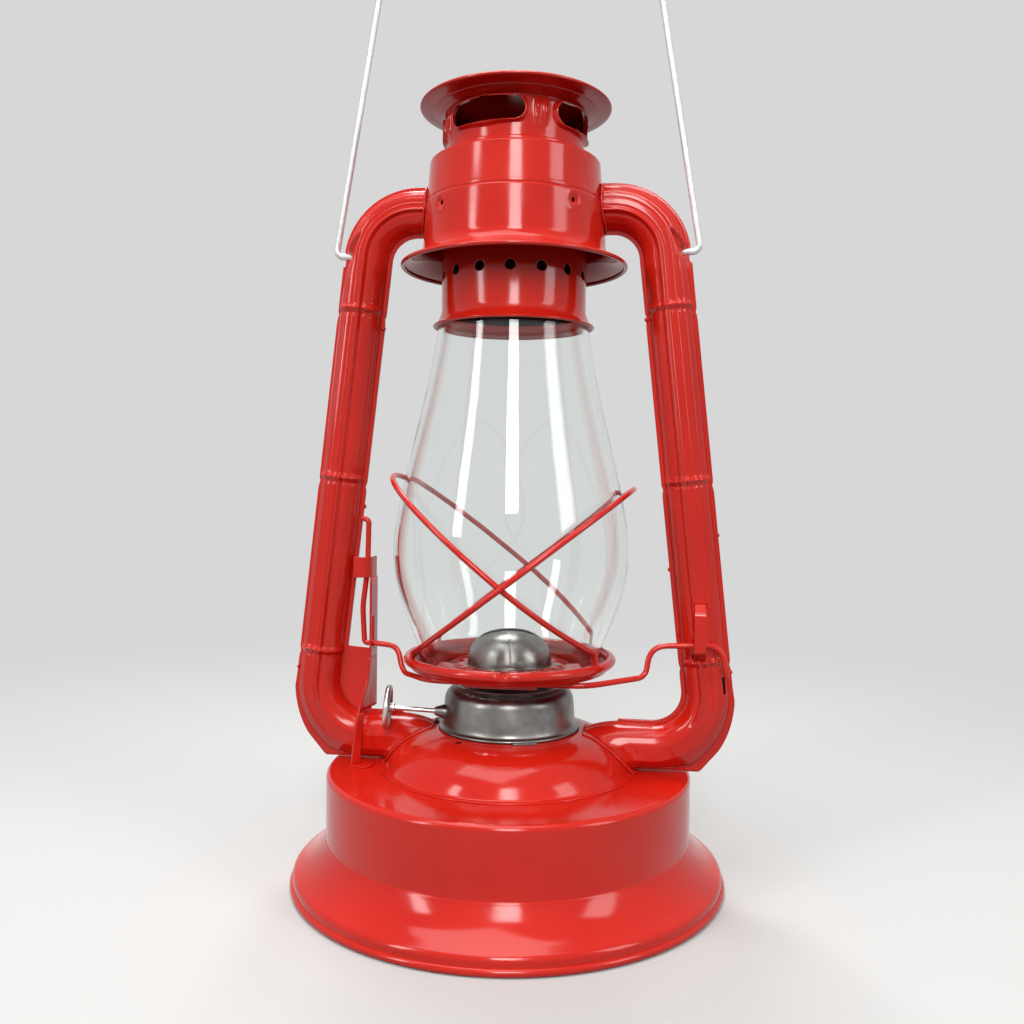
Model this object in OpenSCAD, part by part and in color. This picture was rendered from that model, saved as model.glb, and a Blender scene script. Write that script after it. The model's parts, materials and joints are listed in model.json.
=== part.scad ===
// Tubular hurricane lantern: a tank with an air dome, two stamped side tubes that carry a hood,
// a glass globe on a lifting plate, a wick burner, and a crown on a chimney that rides on the globe.
// The axis of the lantern is Z, the floor is Z = 0 and the front is -Y.

/* [Tank] */
// Radius of the rolled rim that the lantern stands on
foot_r = 93.5; // [88:0.5:104]
// Height of the upright lip above the floor
lip_h = 8; // [7:0.5:11]
// Radius of the upright tank wall
tank_r = 78.5; // [74:0.5:84]
// Height of the crease between the flared skirt and the wall
skirt_h = 20.5; // [17:0.5:26]
// Height of the flat shelf on top of the tank
shelf_h = 48.3; // [42:0.1:60]
// Thickness of the stamped sheet
sheet = 0.6; // [0.4:0.1:0.8]

/* [Air dome] */
// Radius of the dome where it meets the shelf
dome_r = 53.5; // [50:0.5:57]
// Height of the dome above the shelf
dome_h = 16.5; // [13:0.5:22]
// Diameter of the vent hole near the burner
vent_d = 3; // [2:0.1:4]

/* [Filler] */
// Distance of the filler neck from the axis of the lantern
filler_reach = 66; // [64:0.5:70]
// Outer radius of the filler neck
filler_r = 9; // [8:0.1:10]
// Height of the filler neck above the shelf
filler_h = 8; // [6:0.5:12]
// Height of the filler cap
filler_cap_h = 7; // [5:0.5:9]

/* [Burner] */
// Radius of the burner drum
drum_r = 28.6; // [27:0.1:31]
// Height of the burner drum
drum_h = 18; // [15:0.5:22]
// Width of the flat wick
wick_w = 22; // [16:0.5:24]
// Thickness of the flat wick
wick_t = 2.4; // [1.8:0.1:3.2]
// Height of the wick shaft above the foot of the burner
shaft_rise = 5.6; // [5.6:0.1:8]
// Angle around the axis at which the wick shaft leaves the burner, in degrees
burner_turn = 188; // [184:1:210]
// Angle by which the wick shaft rises towards its knob, in degrees
shaft_tilt = 4; // [0:0.5:8]
// Diameter of the wick shaft
shaft_d = 2; // [1.6:0.1:2.6]
// Distance of the wick knob from the axis of the lantern
knob_reach = 53; // [46:0.2:57]
// Diameter of the wick knob
knob_d = 19.4; // [14:0.2:22]
// Radius of the burner cone at its foot
cone_r = 18.2; // [17:0.1:21]
// Height of the burner cone
cone_h = 15.2; // [12:0.2:20]

/* [Globe] */
// Height of the globe's seat above the foot of the burner
plate_rise = 26.2; // [24:0.2:32]
// Outer radius of the globe plate's rolled rim
plate_r = 45.5; // [44:0.5:48]
// Height of the globe
globe_h = 147.9; // [120:0.5:170]
// Radius of the globe's straight foot
globe_foot_r = 39.2; // [37:0.1:40]
// Radius of the globe at its widest
globe_belly_r = 50.9; // [46:0.1:53]
// Radius of the globe's mouth
globe_mouth_r = 32.2; // [29:0.1:34]
// Thickness of the glass
glass = 2.4; // [1.8:0.1:3]

/* [Hood and crown] */
// Height of the brim above the globe's mouth
hood_rise = 24.6; // [20:0.2:34]
// Radius of the hood's brim
brim_r = 48.7; // [46:0.1:54]
// Radius of the hood's lower wall
hood_r = 39.2; // [37.5:0.1:42]
// Radius of the chimney sleeve
chimney_r = 31; // [29:0.1:32]
// Number of holes around the chimney sleeve
chimney_holes = 15; // [9:1:20]
// Diameter of the holes in the chimney sleeve
chimney_hole_d = 4.3; // [3:0.1:5.5]
// Height of the hood's lower half, from the brim to the seam
lower_hood_h = 26; // [24:0.5:30]
// Height of the whole hood above its brim
hood_h = 43.7; // [42:0.1:50]
// Height of the crown's neck above the hood
neck_h = 19.8; // [17:0.2:26]
// Radius of the saucer on top of the crown
saucer_r = 40.8; // [38:0.1:48]
// Height of the saucer's domed top above its edge
saucer_h = 7; // [6:0.5:16]
// Number of windows in the crown
windows = 4; // [3:1:6]
// Angle that one pillar between the windows spans, in degrees
pillar_angle = 24; // [12:1:30]

/* [Side tubes] */
// Radius of the round part of a side tube
tube_r = 9.25; // [8:0.05:10]
// Width of the seam flange along each edge of a tube
flange_w = 1.6; // [1.2:0.1:3]
// Angle between a tube's straight run and the axis, in degrees
tube_tilt = 6.37; // [4:0.01:8]
// Radius of a tube's upper bend, at its middle
upper_bend_r = 22; // [18:0.5:26]
// Radius of a tube's lower bend, at its middle
lower_bend_r = 23; // [19:0.5:26]
// Distance of the lower bend's centre from the axis of the lantern
lower_bend_x = 62; // [59:0.1:66]

/* [Wires] */
// Diameter of the lift and guard wires
wire_d = 2.4; // [2:0.1:2.6]
// How far the globe lifts for lighting
lift = 10; // [6:0.5:12]
// Diameter of the bail's wire
bail_d = 2.8; // [2.2:0.1:3.2]
// Height of the bail's highest point above its pivots
bail_h = 180; // [150:1:230]

/* [Hidden] */
$fn = 96;
fit = 0.05;         // gap of a soldered seam or a bearing
running = 0.35;     // gap between pieces that slide past each other
curve_steps = 8;    // straight steps in a bent stretch of sheet
wire_r = wire_d / 2;
bail_r = bail_d / 2;
shaft_r = shaft_d / 2;

// Heights of the pieces stacked on the tank
burner_z = shelf_h + dome_h;
shaft_z = burner_z + shaft_rise;
plate_z = burner_z + plate_rise;
globe_top = plate_z + globe_h;
brim_z = globe_top + hood_rise;
seam_z = brim_z + lower_hood_h;
hood_top = brim_z + hood_h;
crown_overlap = 7.2;
crown_join = hood_top - crown_overlap;
neck_top = hood_top + neck_h;
saucer_lift = 3.4;
saucer_z = neck_top + saucer_lift;
saucer_top = saucer_z + saucer_h;
port_rise = 24.5;
leg_z = brim_z + port_rise;

// Foot rim and tank bottom
bead_r = 1.7;
lip_inset = 1.2;
lip_r = foot_r - lip_inset;
lip_corner = 3;
shelf_edge_r = 2.5;
bottom_z = 2 * bead_r + 0.1;
collar_r = 16;

// Rolled rim of the globe plate, and the wire clip under the plate
rim_bead = 1.9;
rim_rise = 4;
plate_rim_z = plate_z + rim_rise;
seat_gap = 1.2;
seat_r = globe_foot_r + seat_gap;
clip_w = 29.5;
clip_y = -27;
run_z = plate_z - sheet - wire_r;

// Wick, its tube and its drive
tube_wall = 0.45;
wick_gap = 0.35;
wheel_r = 4.2;
wheel_w = 1.2;
wheel_x = 5;
wheel_teeth = 12;
bearing_x = wheel_x + 3.5;
shaft_y = wick_t / 2 + wick_gap + wheel_r;
wick_tube_w = wick_w + 2 * (wick_gap + tube_wall);
wick_tube_t = wick_t + 2 * (wick_gap + tube_wall);
wick_tube_rise = 5.8;
wick_tube_top = plate_z + wick_tube_rise;
wick_drop = 44;
wick_low = burner_z - wick_drop;
bush_r = 3;

// Tube path in the XZ plane of the right-hand tube
port_depth = 6;
section_steps = 12;
bend_steps = 9;
tube_out = tube_r + flange_w;
low_z = shelf_h + tube_out;
low_c = [lower_bend_x, low_z + lower_bend_r];
up_cz = leg_z - upper_bend_r;
up_cx = lower_bend_x
    + (lower_bend_r - upper_bend_r - (up_cz - low_c[1]) * sin(tube_tilt)) / cos(tube_tilt);
up_c = [up_cx, up_cz];
tube_normal = [cos(tube_tilt), sin(tube_tilt)];
run_low = low_c + lower_bend_r * tube_normal;

// Middle of the tube's straight run at a given height
function run_x(z) = run_low[0] - (z - run_low[1]) * tan(tube_tilt);

// Lift wire: heights of the arms, and where the left end stands in its guide
arm_rise = 15.8;
arm_z = run_z + arm_rise;
keeper_gap = 1.4;
keeper_y = -tube_r - wire_r - keeper_gap;
keeper_w = 4.7;
keeper_x = run_x(arm_z) - 1.8;
keeper_t = 0.8;
guide_t = 0.8;
guide_gap = 10.4;
guide_x = run_x(arm_z) - tube_out - guide_gap;
lever_gap = 2.9;
lever_x = guide_x + lever_gap;
lever_y = -3;
lever_rise = 10.8;
lever_z = run_z + lever_rise;
tab_rise = 29;
tab_z = lever_z + tab_rise;
tab_h = 9;
hook_rise = 25;
hook_z = tab_z + hook_rise;

// Bail pivots, on the outer edge of the upper bends
pivot_drop = 18.5;
pivot_z = leg_z - pivot_drop;
pivot_x = up_c[0] + sqrt(pow(upper_bend_r + tube_out, 2) - pow(pivot_z - up_c[1], 2));

// Sheet outlines

function unit(v) = v / norm(v);
function side(p, i) = let (d = unit(p[i + 1] - p[i])) [-d[1], d[0]];
function corner_shift(a, b) = (a + b) / (1 + a * b);
function shift(p, i) =
    i == 0 ? side(p, 0)
    : i == len(p) - 1 ? side(p, i - 1)
    : corner_shift(side(p, i - 1), side(p, i));
// A line moved to its left by t
function beside(p, t) = [for (i = [0:len(p) - 1]) p[i] + t * shift(p, i)];
function backwards(p) = [for (i = [len(p) - 1:-1:0]) p[i]];
function after_first(p) = [for (i = [1:len(p) - 1]) p[i]];
// A sheet of thickness t on the left of a line
function skin(p, t) = concat(p, backwards(beside(p, t)));
function arc(c, r, a, b, n = curve_steps) =
    [for (i = [0:n]) c + r * [cos(a + (b - a) * i / n), sin(a + (b - a) * i / n)]];
// A bend that leaves a towards m and reaches c from m
function bend(a, m, c, n = curve_steps) =
    [for (i = [0:n]) let (t = i / n) pow(1 - t, 2) * a + 2 * t * (1 - t) * m + t * t * c];
function swell(a, m, k, c, n) =
    [for (i = [0:n]) let (t = i / n, s = 1 - t)
        s * s * s * a + 3 * s * s * t * m + 3 * s * t * t * k + t * t * t * c];

// A sheet outline turned about the axis, ended square where its sheet reaches the axis
module spun(p) {
    rotate_extrude() polygon([for (q = p) [max(q[0], 0), q[1]]]);
}

module along_x(x, y, z) {
    translate([x, y, z]) rotate([0, 90, 0]) children();
}

// The wick shaft's own frame: its middle beside the wick, its length along X
module shaft_frame() {
    rotate(burner_turn) translate([0, shaft_y, shaft_z]) rotate([0, -shaft_tilt, 0]) children();
}

// Place along the wick shaft, with Z towards the knob
module on_shaft(x) {
    shaft_frame() along_x(x, 0, 0) children();
}

// Wires

// Ring of points around one place of a wire's path
function ring(path, i, r, up, sides) =
    let (
        last = len(path) - 1,
        t = unit(path[min(i + 1, last)] - path[max(i - 1, 0)]),
        a = unit(cross(t, up)),
        b = cross(a, t)
    )
    [for (j = [0:sides - 1]) path[i] + r * (cos(360 * j / sides) * a + sin(360 * j / sides) * b)];

module wire(path, r, up, sides = 8) {
    rings = len(path);
    points = [for (i = [0:rings - 1]) each ring(path, i, r, up, sides)];
    walls = [for (i = [0:rings - 2]) for (j = [0:sides - 1])
        let (k = (j + 1) % sides, a = i * sides, b = a + sides)
        each [[a + j, b + k, a + k], [a + j, b + j, b + k]]];
    near = [for (j = [0:sides - 1]) j];
    far = [for (j = [sides - 1:-1:0]) (rings - 1) * sides + j];
    polyhedron(points, concat([near], walls, [far]));
}

// A line of corners, each rounded off over the length d
function rounded(p, d, n) = concat(
    [p[0]],
    [for (i = [1:len(p) - 2]) each bend(
        p[i] + d * unit(p[i - 1] - p[i]), p[i], p[i] + d * unit(p[i + 1] - p[i]), n)],
    [p[len(p) - 1]]
);

// Tank

tank_line = concat(
    [[lip_r, bead_r]],
    arc([lip_r - lip_corner, lip_h - lip_corner], lip_corner, 0, 60),
    bend([lip_r - 4, lip_h + 1], [tank_r + 4, skirt_h - 7.5], [tank_r, skirt_h]),
    arc([tank_r - shelf_edge_r, shelf_h - shelf_edge_r], shelf_edge_r, 0, 90),
    [[collar_r - sheet - fit, shelf_h]]
);

module tank_body() {
    color("firebrick") difference() {
        union() {
            spun(skin(tank_line, sheet));
            spun(foot_bead());
        }
        translate([0, filler_reach, shelf_h - 2 * sheet]) cylinder(r = filler_r - sheet, h = 4 * sheet);
    }
}

// Rolled bead with a narrow flat to stand on
function foot_bead() = concat(
    [[foot_r - 1.5 * bead_r, 0], [foot_r - 0.6 * bead_r, 0]],
    arc([foot_r - bead_r, bead_r], bead_r, -66, 246)
);

bottom_step = 1.8;
module tank_bottom() {
    color("firebrick") spun(skin([
        [lip_r - sheet - fit, bottom_z],
        [tank_r - 12, bottom_z],
        [tank_r - 15, bottom_z + bottom_step],
        [0, bottom_z + bottom_step]
    ], -sheet));
}

// Air dome

dome_flange = 2;
dome_lip = drum_r - 2.1;
dome_line = concat(
    [[dome_r + dome_flange, shelf_h + sheet]],
    bend([dome_r, shelf_h + sheet], [dome_r - 7, burner_z - 1.5], [drum_r + 3, burner_z]),
    [[dome_lip, burner_z]]
);

module air_dome() {
    color("firebrick") difference() {
        spun(skin(dome_line, sheet));
        along_x(-dome_r, 0, low_z) cylinder(r = tube_r - sheet, h = 2 * dome_r);
        rotate(-121) translate([drum_r + 5, 0, burner_z - 6]) cylinder(d = vent_d, h = 8);
    }
}

module dome_block() {
    foot = shelf_h - 1;
    spun(concat(beside(dome_line, -fit), [[0, burner_z], [0, foot], [dome_r + dome_flange + fit, foot]]));
}

module fuel_collar() {
    color("lightgray") spun(skin([
        [collar_r + 4, shelf_h + sheet],
        [collar_r, shelf_h + sheet],
        [collar_r, burner_z]
    ], sheet));
}

// Filler

gasket_h = 1.5;
gasket_r = filler_r - 2.6;
cap_wall = 1.6;
cap_flutes = 30;
cap_flute_r = 0.6;
filler_top = shelf_h + filler_h;

module filler_neck() {
    color("firebrick") translate([0, filler_reach, 0]) spun(skin([
        [filler_r + 1.2, shelf_h + sheet],
        [filler_r, shelf_h + sheet],
        [filler_r, filler_top]
    ], sheet));
}

module filler_gasket() {
    color("dimgray") translate([0, filler_reach, filler_top]) difference() {
        cylinder(r = filler_r, h = gasket_h);
        translate([0, 0, -1]) cylinder(r = gasket_r, h = gasket_h + 2);
    }
}

module filler_cap() {
    cap_in = filler_r + running;
    cap_r = cap_in + cap_wall;
    cap_top = filler_top + gasket_h + 1.2;
    color("firebrick") translate([0, filler_reach, cap_top - filler_cap_h]) difference() {
        cylinder(r = cap_r, h = filler_cap_h);
        translate([0, 0, -1]) cylinder(r = cap_in, h = filler_cap_h - 0.2);
        for (i = [0:cap_flutes - 1])
            rotate(360 * i / cap_flutes) translate([cap_r + 0.1, 0, -1])
                cylinder(r = cap_flute_r, h = filler_cap_h + 2, $fn = 24);
    }
}

// Side tubes

// Front half of the stamped section: u across the tube, v towards the front
seam_angle = asin(sheet / tube_r);
half_section = concat(
    [[tube_out, 0], [tube_out, sheet]],
    arc([0, 0], tube_r, seam_angle, 180 - seam_angle, section_steps),
    [[-tube_out, sheet], [-tube_out, 0]],
    arc([0, 0], tube_r - sheet, 180, 0, section_steps)
);

hood_port_x = hood_r - port_depth;
dome_port_x = drum_r + port_depth;

// Places along the tube, each with the angle of its section's outer edge
function bend_places(c, r, from, to) = [for (i = [0:bend_steps])
    let (a = from + (to - from) * i / bend_steps) [c[0] + r * cos(a), c[1] + r * sin(a), a]];
tube_places = concat(
    [[hood_port_x, leg_z, 90]],
    bend_places(up_c, upper_bend_r, 90, tube_tilt),
    bend_places(low_c, lower_bend_r, tube_tilt, -90),
    [[dome_port_x, low_z, -90]]
);

// Triangles that fill the half section: a flange, the bent sheet and the other flange
function section_faces(sides) = let (n = section_steps) concat(
    [[0, 1, 2], [0, 2, sides - 1]],
    [for (k = [0:n - 1])
        each [[k + 2, k + 3, sides - k - 2], [k + 2, sides - k - 2, sides - k - 1]]],
    [[n + 2, n + 3, n + 4], [n + 2, n + 4, n + 5]]
);

// The half section carried along the tube
module tube_path() {
    sides = len(half_section);
    last = len(tube_places) - 1;
    points = [for (p = tube_places) for (q = half_section)
        [p[0] + q[0] * cos(p[2]), -q[1], p[1] + q[0] * sin(p[2])]];
    walls = [for (i = [0:last - 1]) for (j = [0:sides - 1])
        let (k = (j + 1) % sides, a = i * sides, b = a + sides)
        each [[a + j, b + k, a + k], [a + j, b + j, b + k]]];
    far = [for (f = section_faces(sides)) [for (j = backwards(f)) last * sides + j]];
    polyhedron(points, concat(section_faces(sides), walls, far));
}

module tube_half() {
    difference() {
        tube_path();
        hood_block();
        dome_block();
        along_x(pivot_x - 8, 0, pivot_z) cylinder(r = bail_r + 1.2 * fit, h = 16);
    }
}

module right_tube_front() {
    color("firebrick") tube_half();
}

module right_tube_back() {
    color("firebrick") mirror([0, 1, 0]) tube_half();
}

module left_tube_front() {
    color("firebrick") mirror([1, 0, 0]) tube_half();
}

module left_tube_back() {
    color("firebrick") mirror([1, 0, 0]) mirror([0, 1, 0]) tube_half();
}

// Hood

hood_taper = 0.9;
ring_taper = 1.1;
ring_tuck = 6;
ring_corner = 3;
flare_h = 8.5;
seam_r = hood_r - hood_taper;
ring_r = seam_r - sheet - fit;
ring_top_r = ring_r - ring_taper;
brim_bead = 0.9;
dimples = 4;
dimple_d = 2;
dimple_z = seam_z - 4.6;
hood_line = concat(
    bend([brim_r - brim_bead, brim_z + 0.2], [hood_r + 0.8, brim_z + 2.2], [hood_r, brim_z + flare_h]),
    [[seam_r, seam_z]]
);
throat_r = chimney_r + running + sheet;
ring_line = concat(
    [[ring_r, seam_z - ring_tuck], [ring_r, seam_z]],
    arc([ring_top_r - ring_corner, hood_top - ring_corner], ring_corner, 0, 90),
    bend([throat_r + 1.2, hood_top + 0.2], [throat_r, hood_top + 0.3], [throat_r, hood_top + 2.2], 4)
);

// The hood's outside, which the tubes' upper legs end on
module hood_block() {
    translate([0, 0, brim_z + flare_h])
        cylinder(r1 = hood_r + fit, r2 = seam_r + fit, h = seam_z - brim_z - flare_h);
    translate([0, 0, seam_z]) cylinder(r1 = ring_r + fit, r2 = ring_top_r + fit, h = hood_top - seam_z);
}

module hood_holes() {
    along_x(-brim_r, 0, leg_z) cylinder(r = tube_r - sheet, h = 2 * brim_r);
    for (i = [0:dimples - 1])
        rotate([0, 0, 45 + 360 * i / dimples]) along_x(hood_r - 8, 0, dimple_z)
            cylinder(d = dimple_d, h = 16);
}

module hood_lower() {
    color("firebrick") difference() {
        union() {
            spun(skin(hood_line, sheet));
            spun(arc([brim_r - brim_bead, brim_z], brim_bead, 0, 337.5, 15));
        }
        hood_holes();
    }
}

module hood_upper() {
    color("firebrick") difference() {
        spun(skin(ring_line, sheet));
        hood_holes();
    }
}

// Chimney and crown

lip_drop = 1.5;
lip_flare = 3.6;
chimney_line = concat(
    bend([chimney_r + lip_flare, globe_top - lip_drop], [chimney_r + 1.4, globe_top + 0.5],
        [chimney_r, globe_top + 6.5]),
    [[chimney_r, crown_join]]
);
hole_z = globe_top + 20;

module chimney_sleeve() {
    color("firebrick") difference() {
        union() {
            spun(skin(chimney_line, sheet));
            translate([0, 0, globe_top]) difference() {
                cylinder(r = chimney_r + 1.9, h = sheet);
                translate([0, 0, -1]) cylinder(r = globe_mouth_r - glass - 0.8, h = sheet + 2);
            }
        }
        for (i = [0:chimney_holes - 1])
            rotate(-86 + 360 * i / chimney_holes) along_x(chimney_r - 4, 0, hole_z)
                cylinder(d = chimney_hole_d, h = 8);
    }
}

window_rise = 9.4;
window_z = hood_top + window_rise;
window_h = 9;
window_turn = -63;

module crown_neck() {
    color("firebrick") difference() {
        spun(skin([
            [chimney_r, crown_join],
            [chimney_r, neck_top]
        ], sheet));
        for (i = [0:windows - 1])
            rotate(window_turn + 360 * (i + 0.5) / windows) window();
    }
}

// One window with round ends, cut straight out through the neck
module window() {
    end = (360 / windows - pillar_angle) / 2 - 2 * asin(window_h / 4 / chimney_r);
    rotate(-end) rotate_extrude(angle = 2 * end) translate([chimney_r - 4, window_z]) square([8, window_h]);
    for (a = [-end, end])
        rotate(a) along_x(chimney_r - 4, 0, window_z + window_h / 2) cylinder(d = window_h, h = 8);
}

module crown_cap() {
    color("firebrick") spun(skin(concat(
        [[chimney_r - 2, neck_top + sheet], [chimney_r + 0.5, neck_top + sheet]],
        bend([chimney_r + 2, neck_top + sheet + 0.4], [saucer_r - 4, saucer_z - 1.5],
            [saucer_r - sheet, saucer_z], 5),
        bend([saucer_r - sheet - 0.4, saucer_z + 1.5], [saucer_r * 0.6, saucer_top - sheet],
            [0, saucer_top - sheet])
    ), -sheet));
}

// Globe

belly_z = plate_z + 50;
globe_line = concat(
    [[globe_foot_r, plate_z]],
    swell([globe_foot_r, plate_z + 7], [globe_foot_r + 0.4, plate_z + 12],
        [globe_belly_r, belly_z - 20], [globe_belly_r, belly_z], 10),
    after_first(swell([globe_belly_r, belly_z], [globe_belly_r, belly_z + 24],
        [globe_mouth_r + 6.3, globe_top - 44], [globe_mouth_r, globe_top], 16))
);

module globe() {
    inside = beside(globe_line, glass);
    last = len(inside) - 1;
    color("lightcyan", 0.4) spun(concat(
        globe_line,
        [[inside[last][0], globe_top]],
        [for (i = [last - 1:-1:1]) inside[i]],
        [[inside[0][0], plate_z]]
    ));
}

plate_hole_r = cone_r - 0.3;
plate_holes = 24;
plate_hole_d = 3;
plate_line = concat(
    arc([plate_r - rim_bead, plate_rim_z], rim_bead, 250, 200, 2),
    [[seat_r, plate_z], [globe_foot_r - glass - 2, plate_z]],
    [[globe_foot_r - glass - 6, plate_z + 1.6], [plate_hole_r, plate_z + 1.6]]
);

module globe_plate() {
    color("firebrick") difference() {
        union() {
            spun(skin(plate_line, sheet));
            spun(arc([plate_r - rim_bead, plate_rim_z], rim_bead, 0, 340, 17));
        }
        for (i = [0:plate_holes - 1])
            rotate(360 * i / plate_holes) translate([plate_hole_r + 5, 0, plate_z - 1])
                cylinder(d = plate_hole_d, h = 4);
    }
}

module plate_clip() {
    color("firebrick") difference() {
        translate([-clip_w / 2, clip_y - wire_r - 0.8, run_z - wire_r - 0.9])
            cube([clip_w, 2 * (wire_r + 0.8), plate_z - sheet - run_z + wire_r + 0.9]);
        along_x(-clip_w, clip_y, run_z) cylinder(r = wire_r + fit, h = 2 * clip_w);
    }
}

slot_w = wick_w + 4;
slot_t = wick_t + 5;
cone_line = concat(
    [[cone_r + 2.2, plate_z + 1.6 + sheet], [cone_r, plate_z + 1.6 + sheet]],
    bend([cone_r, plate_z + 3], [cone_r - 0.8, plate_z + 1.6 + cone_h], [0, plate_z + 1.6 + cone_h], 12)
);

module burner_cone() {
    color("silver") difference() {
        spun(skin(cone_line, sheet));
        rotate(burner_turn) translate([0, 0, plate_z + cone_h - 6]) {
            linear_extrude(12) square([slot_w - slot_t, slot_t], center = true);
            for (s = [-1, 1])
                translate([s * (slot_w - slot_t) / 2, 0, 0]) cylinder(d = slot_t, h = 12);
        }
    }
}

// Globe guard: two wires, each bent in a slanting plane round the globe

guard_end = 148;
guard_end_r = plate_r - rim_bead + 0.9;
guard_top_r = globe_belly_r + 0.3;
guard_side_r = globe_belly_r + wire_r + 0.9;
left_slope = 0.81;
left_rise = 41.5;
right_slope = 0.765;
right_rise = 37.8;

function ease(s) = s * s * (3 - 2 * s);
// Distance from the axis at an angle from the raised bend: top_r there, and side_r at the crossing
function guard_r(a, top_r, side_r) =
    abs(a) < 90
        ? top_r + (side_r - top_r) * pow(sin(a), 2)
        : side_r + (guard_end_r - side_r) * ease((abs(a) - 90) / (guard_end - 90));
// The end of a guard wire, bent down onto the plate's rim
function guard_foot(a, s) =
    [-s * guard_end_r * cos(a), -guard_end_r * sin(a), plate_rim_z + rim_bead];
function guard_path(top_r, side_r, s, slope, mid_z) = concat(
    [guard_foot(-guard_end - 2, s)],
    [for (i = [-24:24])
        let (a = guard_end * i / 24, r = guard_r(a, top_r, side_r))
        [-s * r * cos(a), -r * sin(a), mid_z + slope * r * cos(a)]],
    [guard_foot(guard_end + 2, s)]
);

module guard_wire_left() {
    path = guard_path(guard_top_r, guard_side_r, 1, left_slope, plate_z + left_rise);
    color("firebrick") wire(path, wire_r, unit([left_slope, 0, 1]));
}

module guard_wire_right() {
    outer_r = guard_side_r + wire_d + 0.1;
    path = guard_path(guard_top_r + 1.5, outer_r, -1, right_slope, plate_z + right_rise);
    color("firebrick") wire(path, wire_r, unit([-right_slope, 0, 1]));
}

// Lift wire, from its right-hand end to the finger hook on the left

lift_path = rounded([
    [run_x(arm_z) + 9.5, keeper_y, arm_z - 12.5],
    [run_x(arm_z) + 7, keeper_y, arm_z],
    [run_x(arm_z) - 22, keeper_y - 2.5, arm_z - 0.6],
    [run_x(arm_z) - 24, keeper_y - 5, run_z + 2.6],
    [clip_w / 2 + 20, clip_y, run_z],
    [-clip_w / 2 - 16, clip_y, run_z],
    [-lever_x + 18.5, lever_y - 8, run_z - 0.8],
    [-lever_x + 15.5, lever_y - 5.5, lever_z - 0.6],
    [-lever_x + 4, lever_y, lever_z],
    [-lever_x, lever_y, lever_z],
    [-lever_x - 0.9, lever_y, lever_z + 16],
    [-lever_x + 1.2, lever_y, tab_z + 4],
    [-lever_x + 1.6, lever_y, hook_z],
    [-lever_x - 1, lever_y, hook_z + 1]
], 1.9, 4);

module lift_wire() {
    color("firebrick") wire(lift_path, wire_r, [0, 1, 0]);
}

// Strap on the front of the right tube, through which the lift wire slides
keeper_lo = arm_z - wire_r - 0.9;
keeper_hi = arm_z + lift + wire_r + 0.9;
keeper_out = -keeper_y + wire_r + keeper_gap;
keeper_foot = 3;

module wire_keeper() {
    strap = [
        [-tube_r, keeper_lo - keeper_foot],
        [-tube_r - keeper_t, keeper_lo - keeper_foot],
        [-keeper_out, keeper_lo],
        [-keeper_out, keeper_hi],
        [-tube_r - keeper_t, keeper_hi + keeper_foot],
        [-tube_r, keeper_hi + keeper_foot]
    ];
    color("firebrick") translate([keeper_x - keeper_w / 2, 0, 0])
        rotate([90, 0, 90]) linear_extrude(keeper_w) polygon(skin(strap, keeper_t));
}

// Lift guide: a bent sheet between the left tube's seam and the shelf
guide_front = lever_y - wire_r - 0.9;
guide_back = 5;
leg_gap = 0.5;

module lift_guide() {
    web_out = tube_out - flange_w / 2;
    color("firebrick") mirror([1, 0, 0]) {
        difference() {
            translate([guide_x - guide_t, 0, 0]) rotate([90, 0, 90]) linear_extrude(guide_t) polygon([
                [guide_front, tab_z + tab_h],
                [guide_back, tab_z + tab_h],
                [guide_back, low_z + tube_out + 1],
                [-tube_r - leg_gap, low_z + tube_out + 1],
                [-tube_r - leg_gap, shelf_h],
                [-tube_r - 5.5, shelf_h],
                [-tube_r - 4, low_z + tube_out + 4]
            ]);
            translate([guide_x - 2, lever_y - wire_r - 0.5, lever_z - wire_r - 0.5])
                cube([4, wire_d + 1, lift + wire_d + 1]);
        }
        guide_leg();
        guide_tab();
        translate([0, -sheet, 0]) rotate([90, 0, 0]) linear_extrude(guide_t) polygon(concat(
            [[guide_x - guide_t / 2, lever_z - wire_r - 1.5]],
            [[run_x(lever_z) - web_out, lever_z - wire_r - 1.5]],
            arc(low_c, lower_bend_r - web_out, tube_tilt, -75),
            [[guide_x - guide_t / 2, low_c[1] - lower_bend_r + web_out]]
        ));
    }
}

// Slanting foot in front of the tube
module guide_leg() {
    leg_top = low_z + tube_out + 1;
    translate([guide_x - guide_t, -tube_r - leg_gap - guide_t, 0]) rotate([90, 0, -37])
        linear_extrude(guide_t) polygon([[0, shelf_h], [7.5, shelf_h], [2, leg_top], [0, leg_top]]);
}

// Guide that wraps the lift wire and is fixed to the tube's seam
module guide_tab() {
    seam_x = run_x(tab_z + tab_h / 2) - tube_out;
    translate([0, 0, tab_z]) linear_extrude(tab_h) polygon(skin([
        [guide_x - guide_t, guide_front - guide_t],
        [seam_x, guide_front - guide_t],
        [seam_x, -sheet - guide_t],
        [seam_x + flange_w - 0.6, -sheet - guide_t]
    ], guide_t));
}

// Burner

drum_neck_r = cone_r - sheet - 0.6;
tab_count = 3;
bayonet_r = drum_r + 3.6;
drum_line = concat(
    [[drum_r + 2, burner_z], [drum_r + 2, burner_z + 1.3], [drum_r, burner_z + 2.6]],
    arc([drum_r - 2.5, burner_z + drum_h - 2.5], 2.5, 0, 90),
    [[drum_neck_r + 1, burner_z + drum_h], [drum_neck_r, burner_z + drum_h + 1]],
    [[drum_neck_r, plate_z - 1.2]]
);

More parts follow.
